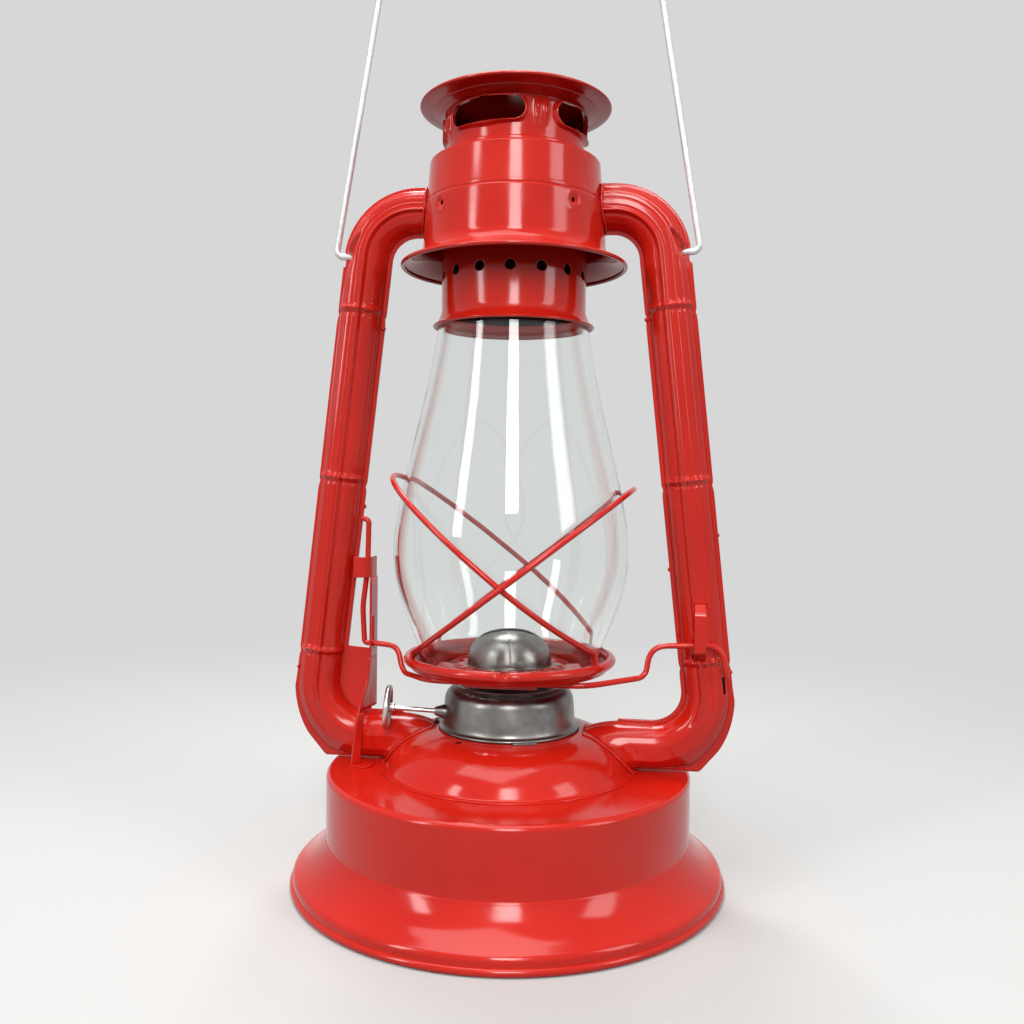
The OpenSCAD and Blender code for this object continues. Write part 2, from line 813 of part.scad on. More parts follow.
module burner_drum() {
    color("silver") difference() {
        union() {
            spun(skin(drum_line, sheet));
            for (i = [0:tab_count - 1])
                rotate(-82 + 360 * i / tab_count) rotate_extrude(angle = 22)
                    translate([drum_r + 1.7, burner_z]) square([bayonet_r - drum_r - 1.7, 0.9]);
        }
        on_shaft(drum_r - 10) cylinder(r = bush_r + fit, h = 16);
    }
}

strainer_holes = 16;
strainer_hole_d = 3.2;
module air_strainer() {
    color("silver") translate([0, 0, burner_z]) difference() {
        cylinder(r = drum_r - sheet - 0.2, h = sheet);
        rotate(burner_turn) translate([0, 0, -1]) linear_extrude(sheet + 2)
            square([wick_tube_w + 2 * fit, wick_tube_t + 2 * fit], center = true);
        for (i = [0:strainer_holes - 1])
            rotate(360 * i / strainer_holes) translate([(collar_r + dome_lip) / 2, 0, -1])
                cylinder(d = strainer_hole_d, h = sheet + 2);
    }
}

// Flat tube with two bearings for the shaft and slots for its wheels
bearing_t = 0.8;
bearing_r = 2.2;
module wick_tube() {
    foot = burner_z - 12;
    reach = shaft_y - wick_tube_t / 2 + 0.1;
    color("silver") difference() {
        union() {
            rotate(burner_turn) translate([0, 0, foot]) linear_extrude(wick_tube_top - foot)
                square([wick_tube_w, wick_tube_t], center = true);
            for (s = [-1, 1])
                shaft_frame() translate([s * bearing_x - bearing_t / 2, -reach, -bearing_r])
                    cube([bearing_t, reach + bearing_r, 2 * bearing_r]);
        }
        rotate(burner_turn) translate([0, 0, foot - 1]) linear_extrude(wick_tube_top - foot + 2)
            square([wick_w + 2 * wick_gap, wick_t + 2 * wick_gap], center = true);
        on_shaft(-bearing_x - 4) cylinder(r = shaft_r + fit, h = 2 * bearing_x + 8);
        for (s = [-1, 1])
            shaft_frame() translate([s * wheel_x - wheel_w / 2 - running, -shaft_y, -wheel_r])
                cube([wheel_w + 2 * running, wick_tube_t, 2 * wheel_r]);
    }
}

module wick() {
    color("ivory") rotate(burner_turn) translate([-wick_w / 2, -wick_t / 2, wick_low])
        cube([wick_w, wick_t, wick_tube_top + 1.6 - wick_low]);
}

bush_h = 3.6;
bush_depth = 5;
module shaft_bush() {
    out = sqrt(pow(drum_r, 2) - pow(shaft_y - bush_r, 2)) + 0.2;
    color("silver") difference() {
        union() {
            on_shaft(out - bush_depth) cylinder(r = bush_r, h = bush_depth);
            on_shaft(out) cylinder(r1 = bush_r, r2 = shaft_r + 0.7, h = bush_h);
        }
        on_shaft(out - bush_depth - 1) cylinder(r = shaft_r + fit, h = bush_depth + bush_h + 2);
    }
}

shaft_end = bearing_x + 1.5;
module wick_shaft() {
    color("silver") on_shaft(-shaft_end) cylinder(r = shaft_r, h = knob_reach + shaft_end);
}

// Pair of toothed wheels that bite the wick
tooth_h = 1.1;
wheel_line = [for (i = [0:2 * wheel_teeth - 1])
    (i % 2 == 0 ? wheel_r : wheel_r - tooth_h) * [cos(180 * i / wheel_teeth), sin(180 * i / wheel_teeth)]];
module spur_wheels() {
    color("silver") for (s = [-1, 1])
        on_shaft(s * wheel_x - wheel_w / 2) difference() {
            linear_extrude(wheel_w) polygon(wheel_line);
            translate([0, 0, -1]) cylinder(r = shaft_r + 0.02, h = wheel_w + 2);
        }
}

// Dished knob: a rolled rim round a pressed disc, with a hub on the inner side
knob_rim = 0.9;
module wick_knob() {
    knob_r = knob_d / 2;
    color("silver") on_shaft(knob_reach) mirror([0, 0, 1]) difference() {
        spun(concat(
            [[0, -1.2], [4, -1.2], [6, 0.2]],
            arc([knob_r - knob_rim, 0.6], knob_rim, -150, 150, 12),
            [[6, 1.0], [3.6, -0.4], [2.2, 0.4], [2.2, 3.4], [0, 3.4]]
        ));
        cylinder(r = shaft_r + 0.02, h = 8);
    }
}

// Bail: a wire arch whose ends turn in through the side tubes

bail_bend = 3;
bail_lean = 9.45;
bail_stub = 6;
bail_bury = 0.3;
bail_turn = [pivot_x + 0.3, pivot_z + bail_bend];
arch_r = (bail_turn[0] * cos(bail_lean) + (bail_bend - bail_h) * sin(bail_lean) + bail_bend)
    / (1 - sin(bail_lean));
arch_c = [0, pivot_z + bail_h - arch_r];
bail_normal = [cos(bail_lean), sin(bail_lean)];
bail_leg_low = bail_turn + bail_bend * bail_normal;
bail_leg_top = arch_c + arch_r * bail_normal;

module wire_arc(c, bend_r, from, to, r) {
    translate([c[0], 0, c[1]]) rotate([90, 0, 0])
        rotate_extrude(angle = to - from, start = from) translate([bend_r, 0]) circle(r = r);
}

// One leg of the bail, with the stub that turns in the tube. The bend and the leg are a hair
// thinner than the stretches that their ends are buried in.
module bail_side() {
    bury = bail_bury / bail_bend * 180 / PI;
    along_x(bail_turn[0] - bail_stub, 0, pivot_z) cylinder(r = bail_r, h = bail_stub);
    wire_arc(bail_turn, bail_bend, -90 - bury, bail_lean + bury, bail_r - 2 * fit);
    translate([bail_leg_low[0], 0, bail_leg_low[1]]) rotate([0, -bail_lean, 0])
        cylinder(r = bail_r - fit, h = norm(bail_leg_top - bail_leg_low) + bail_bury);
}

module bail() {
    color("gainsboro") {
        wire_arc(arch_c, arch_r, bail_lean, 180 - bail_lean, bail_r);
        bail_side();
        mirror([1, 0, 0]) bail_side();
    }
}

tank_body();
tank_bottom();
air_dome();
fuel_collar();
filler_neck();
filler_gasket();
filler_cap();
left_tube_front();
left_tube_back();
right_tube_front();
right_tube_back();
hood_lower();
hood_upper();
chimney_sleeve();
crown_neck();
crown_cap();
globe();
globe_plate();
plate_clip();
burner_cone();
guard_wire_left();
guard_wire_right();
lift_wire();
wire_keeper();
lift_guide();
burner_drum();
air_strainer();
wick_tube();
wick();
shaft_bush();
wick_shaft();
spur_wheels();
wick_knob();
bail();
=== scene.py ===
import json
import math
import bpy
import numpy as np
from mathutils import Matrix, Vector


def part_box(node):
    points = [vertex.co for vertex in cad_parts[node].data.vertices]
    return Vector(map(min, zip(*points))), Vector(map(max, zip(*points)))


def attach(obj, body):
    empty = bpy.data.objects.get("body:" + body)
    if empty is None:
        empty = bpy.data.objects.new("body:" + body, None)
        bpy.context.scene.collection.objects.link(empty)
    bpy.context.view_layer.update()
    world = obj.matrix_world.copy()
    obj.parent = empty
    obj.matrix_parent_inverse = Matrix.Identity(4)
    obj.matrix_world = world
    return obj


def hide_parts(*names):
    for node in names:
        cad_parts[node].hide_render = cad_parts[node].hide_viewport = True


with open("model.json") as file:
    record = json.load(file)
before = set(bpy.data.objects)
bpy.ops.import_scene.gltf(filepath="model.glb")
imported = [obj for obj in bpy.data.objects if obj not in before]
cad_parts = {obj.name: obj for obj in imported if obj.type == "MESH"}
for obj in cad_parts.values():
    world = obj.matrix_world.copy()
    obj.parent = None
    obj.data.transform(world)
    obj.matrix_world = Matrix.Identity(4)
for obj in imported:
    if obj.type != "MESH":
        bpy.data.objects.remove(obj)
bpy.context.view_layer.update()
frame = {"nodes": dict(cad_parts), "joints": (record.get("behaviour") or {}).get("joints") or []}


# Tank: one drawn steel shell with a rolled foot rim, a flared skirt, an upright wall and a flat shelf.
# It is dipped in glossy red enamel, and the rim is curled round a bead so that it stands flat.
mm = 0.001
sheet = 0.6 * mm
solder_gap = 0.05 * mm
foot_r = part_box("tank_body")[1].x
shelf_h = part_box("tank_body")[1].z
foot_bead_r = 1.7 * mm
lip_r = foot_r - 1.2 * mm
lip_h = 8 * mm
lip_corner = 3 * mm
tank_r = 78.5 * mm
skirt_h = 20.5 * mm
skirt_fillet = 0.9 * mm
shelf_edge_r = 2.5 * mm
collar_r = 16 * mm
shelf_hole_r = collar_r - sheet - solder_gap


def arc(centre, radius, start, end, steps=12):
    """Points of a circle about a centre, from one angle to another in degrees."""
    angle = np.radians(np.linspace(start, end, steps + 1))
    return centre + radius * np.stack([np.cos(angle), np.sin(angle)], 1)


def bend(start, corner, end, steps=24):
    """Parabola that leaves its start towards a corner point and reaches its end from there."""
    t = np.linspace(0, 1, steps + 1)[:, None]
    return (1 - t) ** 2 * start + 2 * t * (1 - t) * corner + t * t * end


def line(*runs):
    """Runs of points joined into one line, with points that repeat left out."""
    points = np.concatenate([np.atleast_2d(run) for run in runs])
    far = np.linalg.norm(np.diff(points, axis=0), axis=1) > 1e-7
    return points[np.concatenate([[True], far])]


def grid_faces(rows, columns, rows_closed, columns_closed):
    """Four-cornered faces between the neighbours of a grid of points, going round where it is closed."""
    i = np.arange(rows if rows_closed else rows - 1)[:, None]
    j = np.arange(columns if columns_closed else columns - 1)[None, :]
    below, above, beyond = i * columns, (i + 1) % rows * columns, (j + 1) % columns
    return np.stack([below + j, below + beyond, above + beyond, above + j], -1).reshape(-1, 4)


def around(count, near=(), width=0.0, extra=24):
    """Angles of a full turn in equal steps, with closer ones about the angles near."""
    angles = [np.linspace(0, 2 * np.pi, count, endpoint=False)]
    angles += [a + np.linspace(-width, width, extra) for a in near]
    return np.unique(np.round(np.concatenate(angles) % (2 * np.pi), 6))


def polar(radius, angle, z):
    """Points at distances from Z, angles round it and heights."""
    return np.stack(np.broadcast_arrays(radius * np.cos(angle), radius * np.sin(angle), z), -1)


def spun(profile, angles):
    """A profile (r, z) turned about Z, as rows by angles."""
    return polar(profile[:, :1], angles, profile[:, 1:])


def lathe(outline, angles):
    """Corners and faces of an outline (r, z) turned about Z. One that begins and ends on the axis gets a
    pole at each end, and any other is a closed loop."""
    r, z = outline.T
    if (r * np.roll(z, -1) - np.roll(r, -1) * z).sum() < 0:
        outline = outline[::-1]
    poles = outline[[0, -1]] if outline[0, 0] < 1e-9 else outline[:0]
    rings = outline[1:-1] if len(poles) else outline
    corners = spun(rings, angles).reshape(-1, 3)
    faces = grid_faces(len(rings), len(angles), not len(poles), True).tolist()
    if len(poles):
        j = np.arange(len(angles))
        k = (j + 1) % len(angles)
        last, pole = len(corners) - len(angles), np.full_like(j, len(corners))
        faces += np.stack([k, j, pole], 1).tolist() + np.stack([last + j, last + k, pole + 1], 1).tolist()
        corners = np.vstack([corners, poles @ [[0, 0, 0], [0, 0, 1]]])
    return corners, faces


def piece(name, points, faces, finish, sharp=38):
    """Mesh object at the origin, smooth except across edges sharper than an angle in degrees."""
    mesh = bpy.data.meshes.new(name)
    mesh.from_pydata(points.reshape(-1, 3).tolist(), [], faces)
    mesh.polygons.foreach_set("use_smooth", np.ones(len(mesh.polygons), bool))
    mesh.set_sharp_from_angle(angle=math.radians(sharp))
    mesh.materials.append(finish)
    made = bpy.data.objects.new(name, mesh)
    bpy.context.scene.collection.objects.link(made)
    return made


def fix(made, body, replaced=None):
    """Puts a piece on a body, in place of a node of the frame if one is named."""
    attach(made, body)
    if replaced:
        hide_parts(replaced)


def feed(made, inputs):
    """Puts a value on each named input of a shader node, or links another node's output to it."""
    for name, value in inputs.items():
        if isinstance(value, bpy.types.NodeSocket):
            made.id_data.links.new(value, made.inputs[name])
        else:
            made.inputs[name].default_value = value


def node(tree, kind, inputs, output=0, **settings):
    """One output of a new shader node, with the node's settings and its inputs."""
    made = tree.nodes.new("ShaderNode" + kind)
    for name, value in settings.items():
        setattr(made, name, value)
    feed(made, inputs)
    return made.outputs[output]


def new_finish(name):
    """A node material, with its Principled shader and the Object coordinates."""
    material = bpy.data.materials.new(name)
    material.use_nodes = True
    tree = material.node_tree
    return material, tree.nodes["Principled BSDF"], node(tree, "TexCoord", {}, "Object")


def mottle(place, scale, detail=2.0):
    """Soft noise from 0 to 1, scale times per metre."""
    return node(place.id_data, "TexNoise", {"Vector": place, "Scale": scale, "Detail": detail}, "Fac")


def shades(value, *stops):
    """Colour that goes through stops (place, colour) as a value goes from 0 to 1."""
    colour = node(value.id_data, "ValToRGB", {"Fac": value}, "Color")
    ramp = colour.node.color_ramp.elements
    while len(ramp) < len(stops):
        ramp.new(0.5)
    for element, (where, shade) in zip(ramp, stops):
        element.position = where
        element.color = (*shade, 1)
    return colour


def spread(value, low, high):
    """A noise value stretched to lie between two numbers."""
    limits = {"From Min": 0.3, "From Max": 0.7, "To Min": low, "To Max": high}
    return node(value.id_data, "MapRange", {"Value": value, **limits}, "Result")


def relief(height, strength, depth):
    """A normal with bumps of a depth in metres."""
    return node(height.id_data, "Bump", {"Height": height, "Strength": strength, "Distance": depth}, "Normal")


enamel, shader, place = new_finish("red_enamel")
feed(shader, {
    "Base Color": shades(mottle(place, 22, 3), (0.3, (0.56, 0.012, 0.005)), (0.7, (0.64, 0.018, 0.008))),
    "Roughness": spread(mottle(place, 60, 3), 0.10, 0.17),
    "Specular IOR Level": 0.36,
    "Normal": relief(mottle(place, 320), 0.04, 0.25 * mm)})

tank_line = line(
    arc([foot_r - foot_bead_r, foot_bead_r], foot_bead_r, -66, 60, 10),
    [lip_r, foot_bead_r * 1.9],
    arc([lip_r - lip_corner, lip_h - lip_corner], lip_corner, 0, 60, 8),
    bend([lip_r - 4 * mm, lip_h + 1 * mm], [tank_r + 4 * mm, skirt_h - 7.5 * mm],
         [tank_r + 0.5 * mm, skirt_h - 0.8 * mm]),
    arc([tank_r + skirt_fillet, skirt_h + 0.4 * mm], skirt_fillet, 235, 180, 4),
    [tank_r, skirt_h + 4 * mm],
    arc([tank_r - shelf_edge_r, shelf_h - shelf_edge_r], shelf_edge_r, 0, 90, 10),
    [shelf_hole_r, shelf_h])
inner_line = line(
    [shelf_hole_r, shelf_h - sheet],
    arc([tank_r - shelf_edge_r, shelf_h - shelf_edge_r], shelf_edge_r - sheet, 90, 0, 8),
    bend([tank_r - sheet, skirt_h], [tank_r + 3 * mm, skirt_h - 8 * mm],
         [lip_r - 4.5 * mm, lip_h + 0.2 * mm], 12),
    [lip_r - sheet, lip_h - lip_corner],
    [lip_r - sheet, foot_bead_r * 1.7],
    arc([foot_r - foot_bead_r, foot_bead_r], foot_bead_r, 200, 246, 4))
tank = piece("tank_shell", *lathe(line(tank_line, inner_line), around(288)), enamel)
fix(tank, "frame", "tank_body")


# Tank bottom: a stepped steel disc pressed into the rim from below and soldered.
# It stays as the frame has it, with the enamel on it.
def dress(finish, *nodes):
    """Gives nodes of the frame a finish."""
    for name in nodes:
        frame["nodes"][name].data.materials.clear()
        frame["nodes"][name].data.materials.append(finish)


dress(enamel, "tank_bottom")


# Air dome: a pressed and enamelled cover on the shelf, which takes the air from the tubes to the burner.
# It is soldered down, and a small vent is pierced beside the burner, on the side towards the knob.
dome_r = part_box("air_dome")[1].x
dome_foot = 2 * mm
dome_wall_r = dome_r - dome_foot
burner_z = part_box("burner_drum")[0].z
drum_r = 28.6 * mm
dome_lip = drum_r - 2.1 * mm
vent_angle = math.radians(-121)
vent_r = 1.45 * mm
vent_out = drum_r + 5 * mm


def travel(points):
    """Length along a line up to each of its points."""
    return np.concatenate([[0], np.cumsum(np.linalg.norm(np.diff(points, axis=0), axis=1))])


def spaced(points, step):
    """The same line with points added so that none are further apart than a step."""
    run = travel(points)
    parts = [np.linspace(a, b, max(1, math.ceil((b - a) / step)), endpoint=False)
             for a, b in zip(run, run[1:])]
    where = np.concatenate(parts + [run[-1:]])
    return np.stack([np.interp(where, run, axis) for axis in points.T], 1)


def thicken(made, thickness):
    """Gives a sheet its thickness, away from its outside."""
    wall = made.modifiers.new("wall", "SOLIDIFY")
    wall.thickness = thickness
    wall.offset = -1
    return made


def sheet_piece(name, points, finish, thickness, flip=False, closed=False, holes=(), hole_r=0.0, gone=None):
    """A grid of points as a sheet. Faces between points that are gone are left out, and so are those inside
    round holes, whose edge points are moved onto circles."""
    faces = grid_faces(points.shape[0], points.shape[1], False, closed)
    corners = points.reshape(-1, 3).copy()
    if gone is not None:
        faces = faces[~gone.ravel()[faces].all(1)]
    for hole in holes:
        off = np.linalg.norm(corners - hole, axis=1)
        inside = off[faces].mean(1) < hole_r
        edge = np.intersect1d(faces[inside], faces[~inside])
        corners[edge] = hole + (corners[edge] - hole) * (hole_r / off[edge])[:, None]
        faces = faces[~inside]
    used, faces = np.unique(faces, return_inverse=True)
    faces = faces.reshape(-1, 4)[:, ::-1 if flip else 1]
    return thicken(piece(name, corners[used], faces.tolist(), finish, 30), thickness)


dome_line = line(
    [dome_r, shelf_h + sheet],
    bend([dome_wall_r + 0.6 * mm, shelf_h + sheet], [dome_wall_r, shelf_h + sheet],
         [dome_wall_r - 0.5 * mm, shelf_h + 1.6 * mm], 6),
    bend([dome_wall_r - 0.5 * mm, shelf_h + 1.6 * mm], [dome_wall_r - 7 * mm, burner_z - 1.5 * mm],
         [drum_r + 3 * mm, burner_z], 40),
    [dome_lip, burner_z])
vent = polar(vent_out, vent_angle, np.interp(vent_out, *dome_line[::-1].T))
dome_points = spun(spaced(dome_line, 0.3 * mm), around(256, [vent_angle], 0.07, 40))
dome = sheet_piece("air_dome_cover", dome_points, enamel, sheet, closed=True, holes=[vent], hole_r=vent_r)
fix(dome, "frame", "air_dome")


# Fuel collar: a tinned ring soldered into the shelf, which the burner's foot stands on inside the dome.
# Its tin is dull and a little stained.
tin, shader, place = new_finish("dull_tin")
feed(shader, {
    "Base Color": shades(mottle(place, 95, 6), (0.3, (0.13, 0.125, 0.117)), (0.5, (0.21, 0.205, 0.193)),
                         (0.72, (0.30, 0.293, 0.278))),
    "Roughness": spread(mottle(place, 140, 4), 0.28, 0.42),
    "Metallic": 1,
    "Normal": relief(mottle(place, 700, 3), 0.12, 0.15 * mm)})
dress(tin, "fuel_collar")


# Filler: a short neck soldered to the back of the shelf, with a rubber ring and a fluted screw cap on it.
# The enamelled cap is pressed with a raised step and a shallow dish in its top.
filler_lo, filler_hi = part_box("filler_cap")
filler_y = (filler_lo.y + filler_hi.y) / 2
cap_r = (filler_hi.x - filler_lo.x) / 2
cap_top = filler_hi.z
cap_bore = cap_r - 1.4 * mm
cap_roof = 1.2 * mm
cap_edge = 1.2 * mm
cap_dish = 0.7 * mm
flutes = 30
flute_depth = 0.5 * mm

rubber, shader, place = new_finish("black_rubber")
feed(shader, {
    "Base Color": shades(mottle(place, 300), (0.3, (0.012, 0.012, 0.012)), (0.7, (0.03, 0.03, 0.03))),
    "Roughness": 0.7,
    "Normal": relief(mottle(place, 900), 0.2, 0.1 * mm)})
dress(rubber, "filler_gasket")
dress(enamel, "filler_neck")

cap_line = line(
    [0, cap_top - cap_roof],
    [cap_bore, cap_top - cap_roof],
    [cap_bore, filler_lo.z],
    spaced(line([cap_r, filler_lo.z], [cap_r, cap_top - cap_edge]), 0.6 * mm),
    arc([cap_r - cap_edge, cap_top - cap_edge], cap_edge, 0, 90, 6),
    [cap_r - 2.6 * mm, cap_top],
    bend([cap_r - 2.9 * mm, cap_top], [cap_r - 3.1 * mm, cap_top - cap_dish],
         [cap_r - 3.9 * mm, cap_top - cap_dish], 5),
    [0, cap_top - cap_dish])
corners, faces = lathe(cap_line, around(flutes * 10))
x, y, z = corners.T
depth = flute_depth * (0.5 + 0.5 * np.cos(flutes * np.arctan2(y, x))) ** 3
fluted = (np.hypot(x, y) > cap_r - cap_edge / 2) & (z < cap_top - cap_edge / 2)
corners[:, :2] *= 1 - (fluted * depth / cap_r)[:, None]
corners[:, 1] += filler_y
fix(piece("filler_screw_cap", corners, faces, enamel), "filler_cap", "filler_cap")


# Side tubes: each is stamped in two halves that are joined along a seam flange on the inner and outer edges.
# A raised rib runs down the front with grooved facets outside it, cross ribs stiffen the long run, and a
# hollow is pressed into the outer edge where the bail hooks in. Drops of enamel hang on the flanges.
tube_t = sheet * 0.9
tube_r = 9.25 * mm
flange_w = 1.6 * mm
tube_out = tube_r + flange_w
tube_tilt = math.radians(6.37)
upper_bend = 22 * mm
lower_bend = 23 * mm
hood_r = 39.2 * mm
brim_bead = 0.9 * mm
flare_h = 8.5 * mm
throat_h = 2.2 * mm
brim_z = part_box("hood_lower")[0].z + brim_bead
hood_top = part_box("hood_upper")[1].z - throat_h
seam_z = brim_z + 26 * mm
seam_r = hood_r - 0.9 * mm
leg_z = brim_z + 24.5 * mm
low_z = shelf_h + tube_out
low_c = np.array([62 * mm, low_z + lower_bend])
up_z = leg_z - upper_bend
up_x = low_c[0] + (lower_bend - upper_bend - (up_z - low_c[1]) * math.sin(tube_tilt)) / math.cos(tube_tilt)
up_c = np.array([up_x, up_z])
ridge_h = 1.25 * mm
ridge_w = 0.75 * mm
fade_u = 4 * mm
fade_inner, fade_outer, fade_span = np.radians([25, 62, 50])
rib_heights = np.array([246, 173, 97]) * mm
rib_h = 0.95 * mm
rib_w = 1.1 * mm
rib_groove = 0.35
groove_drop = 2 * mm
groove_w = 0.8 * mm
notch_depth = 0.5 * mm
notch_drop = 3 * mm
notch_w = 1.2 * mm
ear_z = 263 * mm
ear_u = 4.75 * mm
ear_rise = 8.5 * mm
ear_run = 8 * mm
ear_depth = 2 * mm
ear_cut = 1 * mm
strap_x = sum(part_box("wire_keeper"), Vector()).x / 2
strap_ends = np.array([corner.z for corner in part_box("wire_keeper")])
lance_w = 6 * mm
lance_h = 2 * mm
lance_zone = 80 * mm, 130 * mm
slit_u = 7 * mm
slit_w = 1.4 * mm
slit_z = 87 * mm
slit_h = 8 * mm
end_open = 1.16
end_up = 0.67
end_x = 33 * mm
open_from = 0.45
flange_fold = 0.1
shelf_gap = 0.25 * mm
overlap = 0.2 * mm
shell_r = tube_r + 0.2 * mm
seam_lip = tube_r + 0.5 * mm
facet_u = 5.5 * mm
facets = np.array([[4.9, 7.95], [5.5, 7.45], [8.4, 4.6], [8.8, 3.9], [9.25, 0.8]]) * mm
seam_trim = line([33.64, 3.755], bend([34.7, -3], [34.2, -15], [28.5, -24], 12),
                 [20.4, -33.5], [0, -33.6]) * mm


def falling(distance, radius, edge):
    """1 inside a radius, 0 outside it, with a smooth slope of the given width between."""
    t = np.clip((radius + edge / 2 - distance) / edge, 0, 1)
    return t * t * (3 - 2 * t)


def bump(distance, width):
    """A rounded hump of height 1 and the given half width."""
    return np.exp(-(distance / width) ** 2)


def tube_section(ridge_u):
    """Front half of the stamped section from the inner flange to the outer one, as u outwards and v to the
    front, and how far each point is pressed out: a round inner part and flat outer facets, with a rib and
    fine grooves."""
    wall = spaced(line(arc([0, 0], tube_r, 176, 98, 30), facets), 0.33 * mm)
    inner = spaced(np.array([[-tube_out, sheet], [-seam_lip, sheet]]), 0.4 * mm)
    outer = spaced(np.array([[seam_lip, sheet], [tube_out, sheet]]), 0.3 * mm)
    u, v = line(inner, wall, outer).T
    press = ridge_h * bump(u - ridge_u, ridge_w)
    beside_ridge = [(ridge_u - 1.6 * mm, 0.35, 0.5), (ridge_u + 1.6 * mm, 0.35, 0.5)]
    on_facets = [(2.8 * mm, 0.22, 0.3), (5.2 * mm, 0.5, 0.35), (8.6 * mm, 0.45, 0.3), (-8.8 * mm, 0.3, 0.3)]
    for groove, depth, width in beside_ridge + on_facets:
        press -= depth * mm * bump(u - groove, width * mm)
    return u, v, press * (np.abs(u) < shell_r)


def tube_middle():
    """Middle line of the right-hand tube from the end of its upper leg to the start of its lower one: places
    (x, z), the angle of the outer edge, and the length from the ear. Places are closer together at the ribs
    and slots."""
    upper = np.linspace(math.pi / 2, tube_tilt, 56)
    lower = np.linspace(tube_tilt, -math.pi / 2, 48)
    top = up_c + upper_bend * np.stack([np.cos(upper), np.sin(upper)], 1)
    low = low_c + lower_bend * np.stack([np.cos(lower), np.sin(lower)], 1)
    top_z, bottom_z = top[-1, 1], low[0, 1]
    fine = np.concatenate([rib_heights, strap_ends, [slit_z, ear_z]])[:, None] + np.linspace(-4, 4, 19) * mm
    heights = np.unique(np.concatenate([np.linspace(top_z, bottom_z, 70)[1:-1], fine.ravel()]))[::-1]
    heights = heights[(heights < top_z - 0.2 * mm) & (heights > bottom_z + 0.2 * mm)]
    share = (top_z - heights) / (top_z - bottom_z)
    straight = top[-1] + share[:, None] * (low[0] - top[-1])
    xz = np.vstack([top, straight, low])
    angle = np.concatenate([upper, np.full(len(straight), tube_tilt), lower])
    run = travel(xz)
    return xz, angle, run - run[len(top) - 1]


def outer_wall(z):
    """Radius of the outside of the hood at a height."""
    return np.interp(z, [brim_z + flare_h, seam_z, hood_top], [hood_r, seam_r, seam_r - 1.7 * mm])


def dome_wall(z):
    """Radius of the outside of the dome at a height."""
    return np.interp(z, dome_line[:, 1], dome_line[:, 0])


def tube_half(ridge_u):
    """The half section carried along the tube's middle line. Ribs are pressed up across it, a hollow is
    pressed in at the ear, and the outer part is drawn out to a straight-cut corner in the lower bend. Both
    legs run on until each point meets the hood or the dome, and the lower one opens out as it does. Gives
    points as places by section."""
    u, v, press = tube_section(ridge_u)
    xz, angle, run = tube_middle()
    angle, z_mid, run = angle[:, None], xz[:, 1:], run[:, None]
    straight, shell = np.isclose(angle, tube_tilt), np.abs(u) < shell_r
    fade = falling(-angle, np.where(u > fade_u, fade_outer, fade_inner), fade_span)
    ribs = straight * sum(
        bump(z_mid - h, rib_w) - rib_groove * bump(z_mid - h + groove_drop, groove_w) for h in rib_heights)
    below = run - np.interp(u, [4.7 * mm, 10 * mm], [-ear_rise, 0])
    dent = falling(-u, -ear_u, 2.5 * mm) * falling(-below, -0.6 * mm, 1.2 * mm)
    dent = dent * bump(np.maximum(below, 0), ear_run)
    lift = fade * press + shell * (rib_h * ribs * np.clip(v / tube_r, 0, 1) ** 0.5 - ear_depth * dent)
    scale = 1 + lift / np.hypot(u, v)
    notch = notch_depth * straight * sum(bump(z_mid - h + notch_drop, notch_w) for h in rib_heights)
    trim = spaced(seam_trim, 1 * mm)
    wider = np.interp(-angle, -np.arctan2(trim[:, 1], trim[:, 0]), np.hypot(*trim.T)) - lower_bend - tube_out
    cut = notch + ear_cut * falling(np.abs(run - 1.75 * mm), 2.75 * mm, 1 * mm) * (u > 0)
    past = np.maximum(np.abs(u) - seam_lip, 0) / (tube_out - seam_lip)
    stretch = np.where(u > 0, 0.6 * past + 0.4 * np.clip((u - facet_u) / (tube_r - facet_u), 0, 1), 0)
    out = (u - np.sign(u) * past * cut) * scale + wider * stretch
    body = np.stack([xz[:, :1] + out * np.cos(angle), -v * scale, z_mid + out * np.sin(angle)], -1)
    x, y, z = body[0].T
    hood_x = np.sqrt(outer_wall(z) ** 2 - y ** 2) - overlap
    t = np.linspace(0, 1, 12, endpoint=False)[:, None]
    upper = np.stack([hood_x + t * (x - hood_x), y + 0 * t, z + 0 * t], -1)
    x, y, z = body[-1].T
    t = np.linspace(0, 1, 36)[1:, None]
    opening = np.clip((t - open_from) / (1 - open_from), 0, 1) ** 2
    folded = np.minimum(z - low_z, seam_lip + flange_fold * (z - low_z - seam_lip))
    rise = np.where(t < 0.5, z - low_z, folded)
    rise = rise * np.where(rise > 0, 1 + (end_up - 1) * opening, 1 + (end_open - 1) * opening)
    y, z = y * (1 + (end_open - 1) * opening), np.maximum(low_z + rise, shelf_h + shelf_gap)
    dome_x = np.maximum(np.sqrt(np.maximum(dome_wall(z) ** 2 - y ** 2, 0)), end_x) - overlap
    lower = np.stack([x + t * (dome_x - x), y, z], -1)
    return np.concatenate([upper, body, lower])


def lanced(points, u):
    """Which points of a tube half lie in the slots lanced for the keeper's ends and for the wire's end."""
    x, z = points[..., 0], points[..., 2]
    on_run = (z > lance_zone[0]) & (z < lance_zone[1]) & (np.abs(u) < tube_r)
    keeper = (np.abs(z[..., None] - strap_ends).min(-1) < lance_h / 2) & (np.abs(x - strap_x) < lance_w / 2)
    slit = (np.abs(u - slit_u) < slit_w / 2) & (np.abs(z - slit_z) < slit_h / 2)
    return on_run & (keeper | slit)


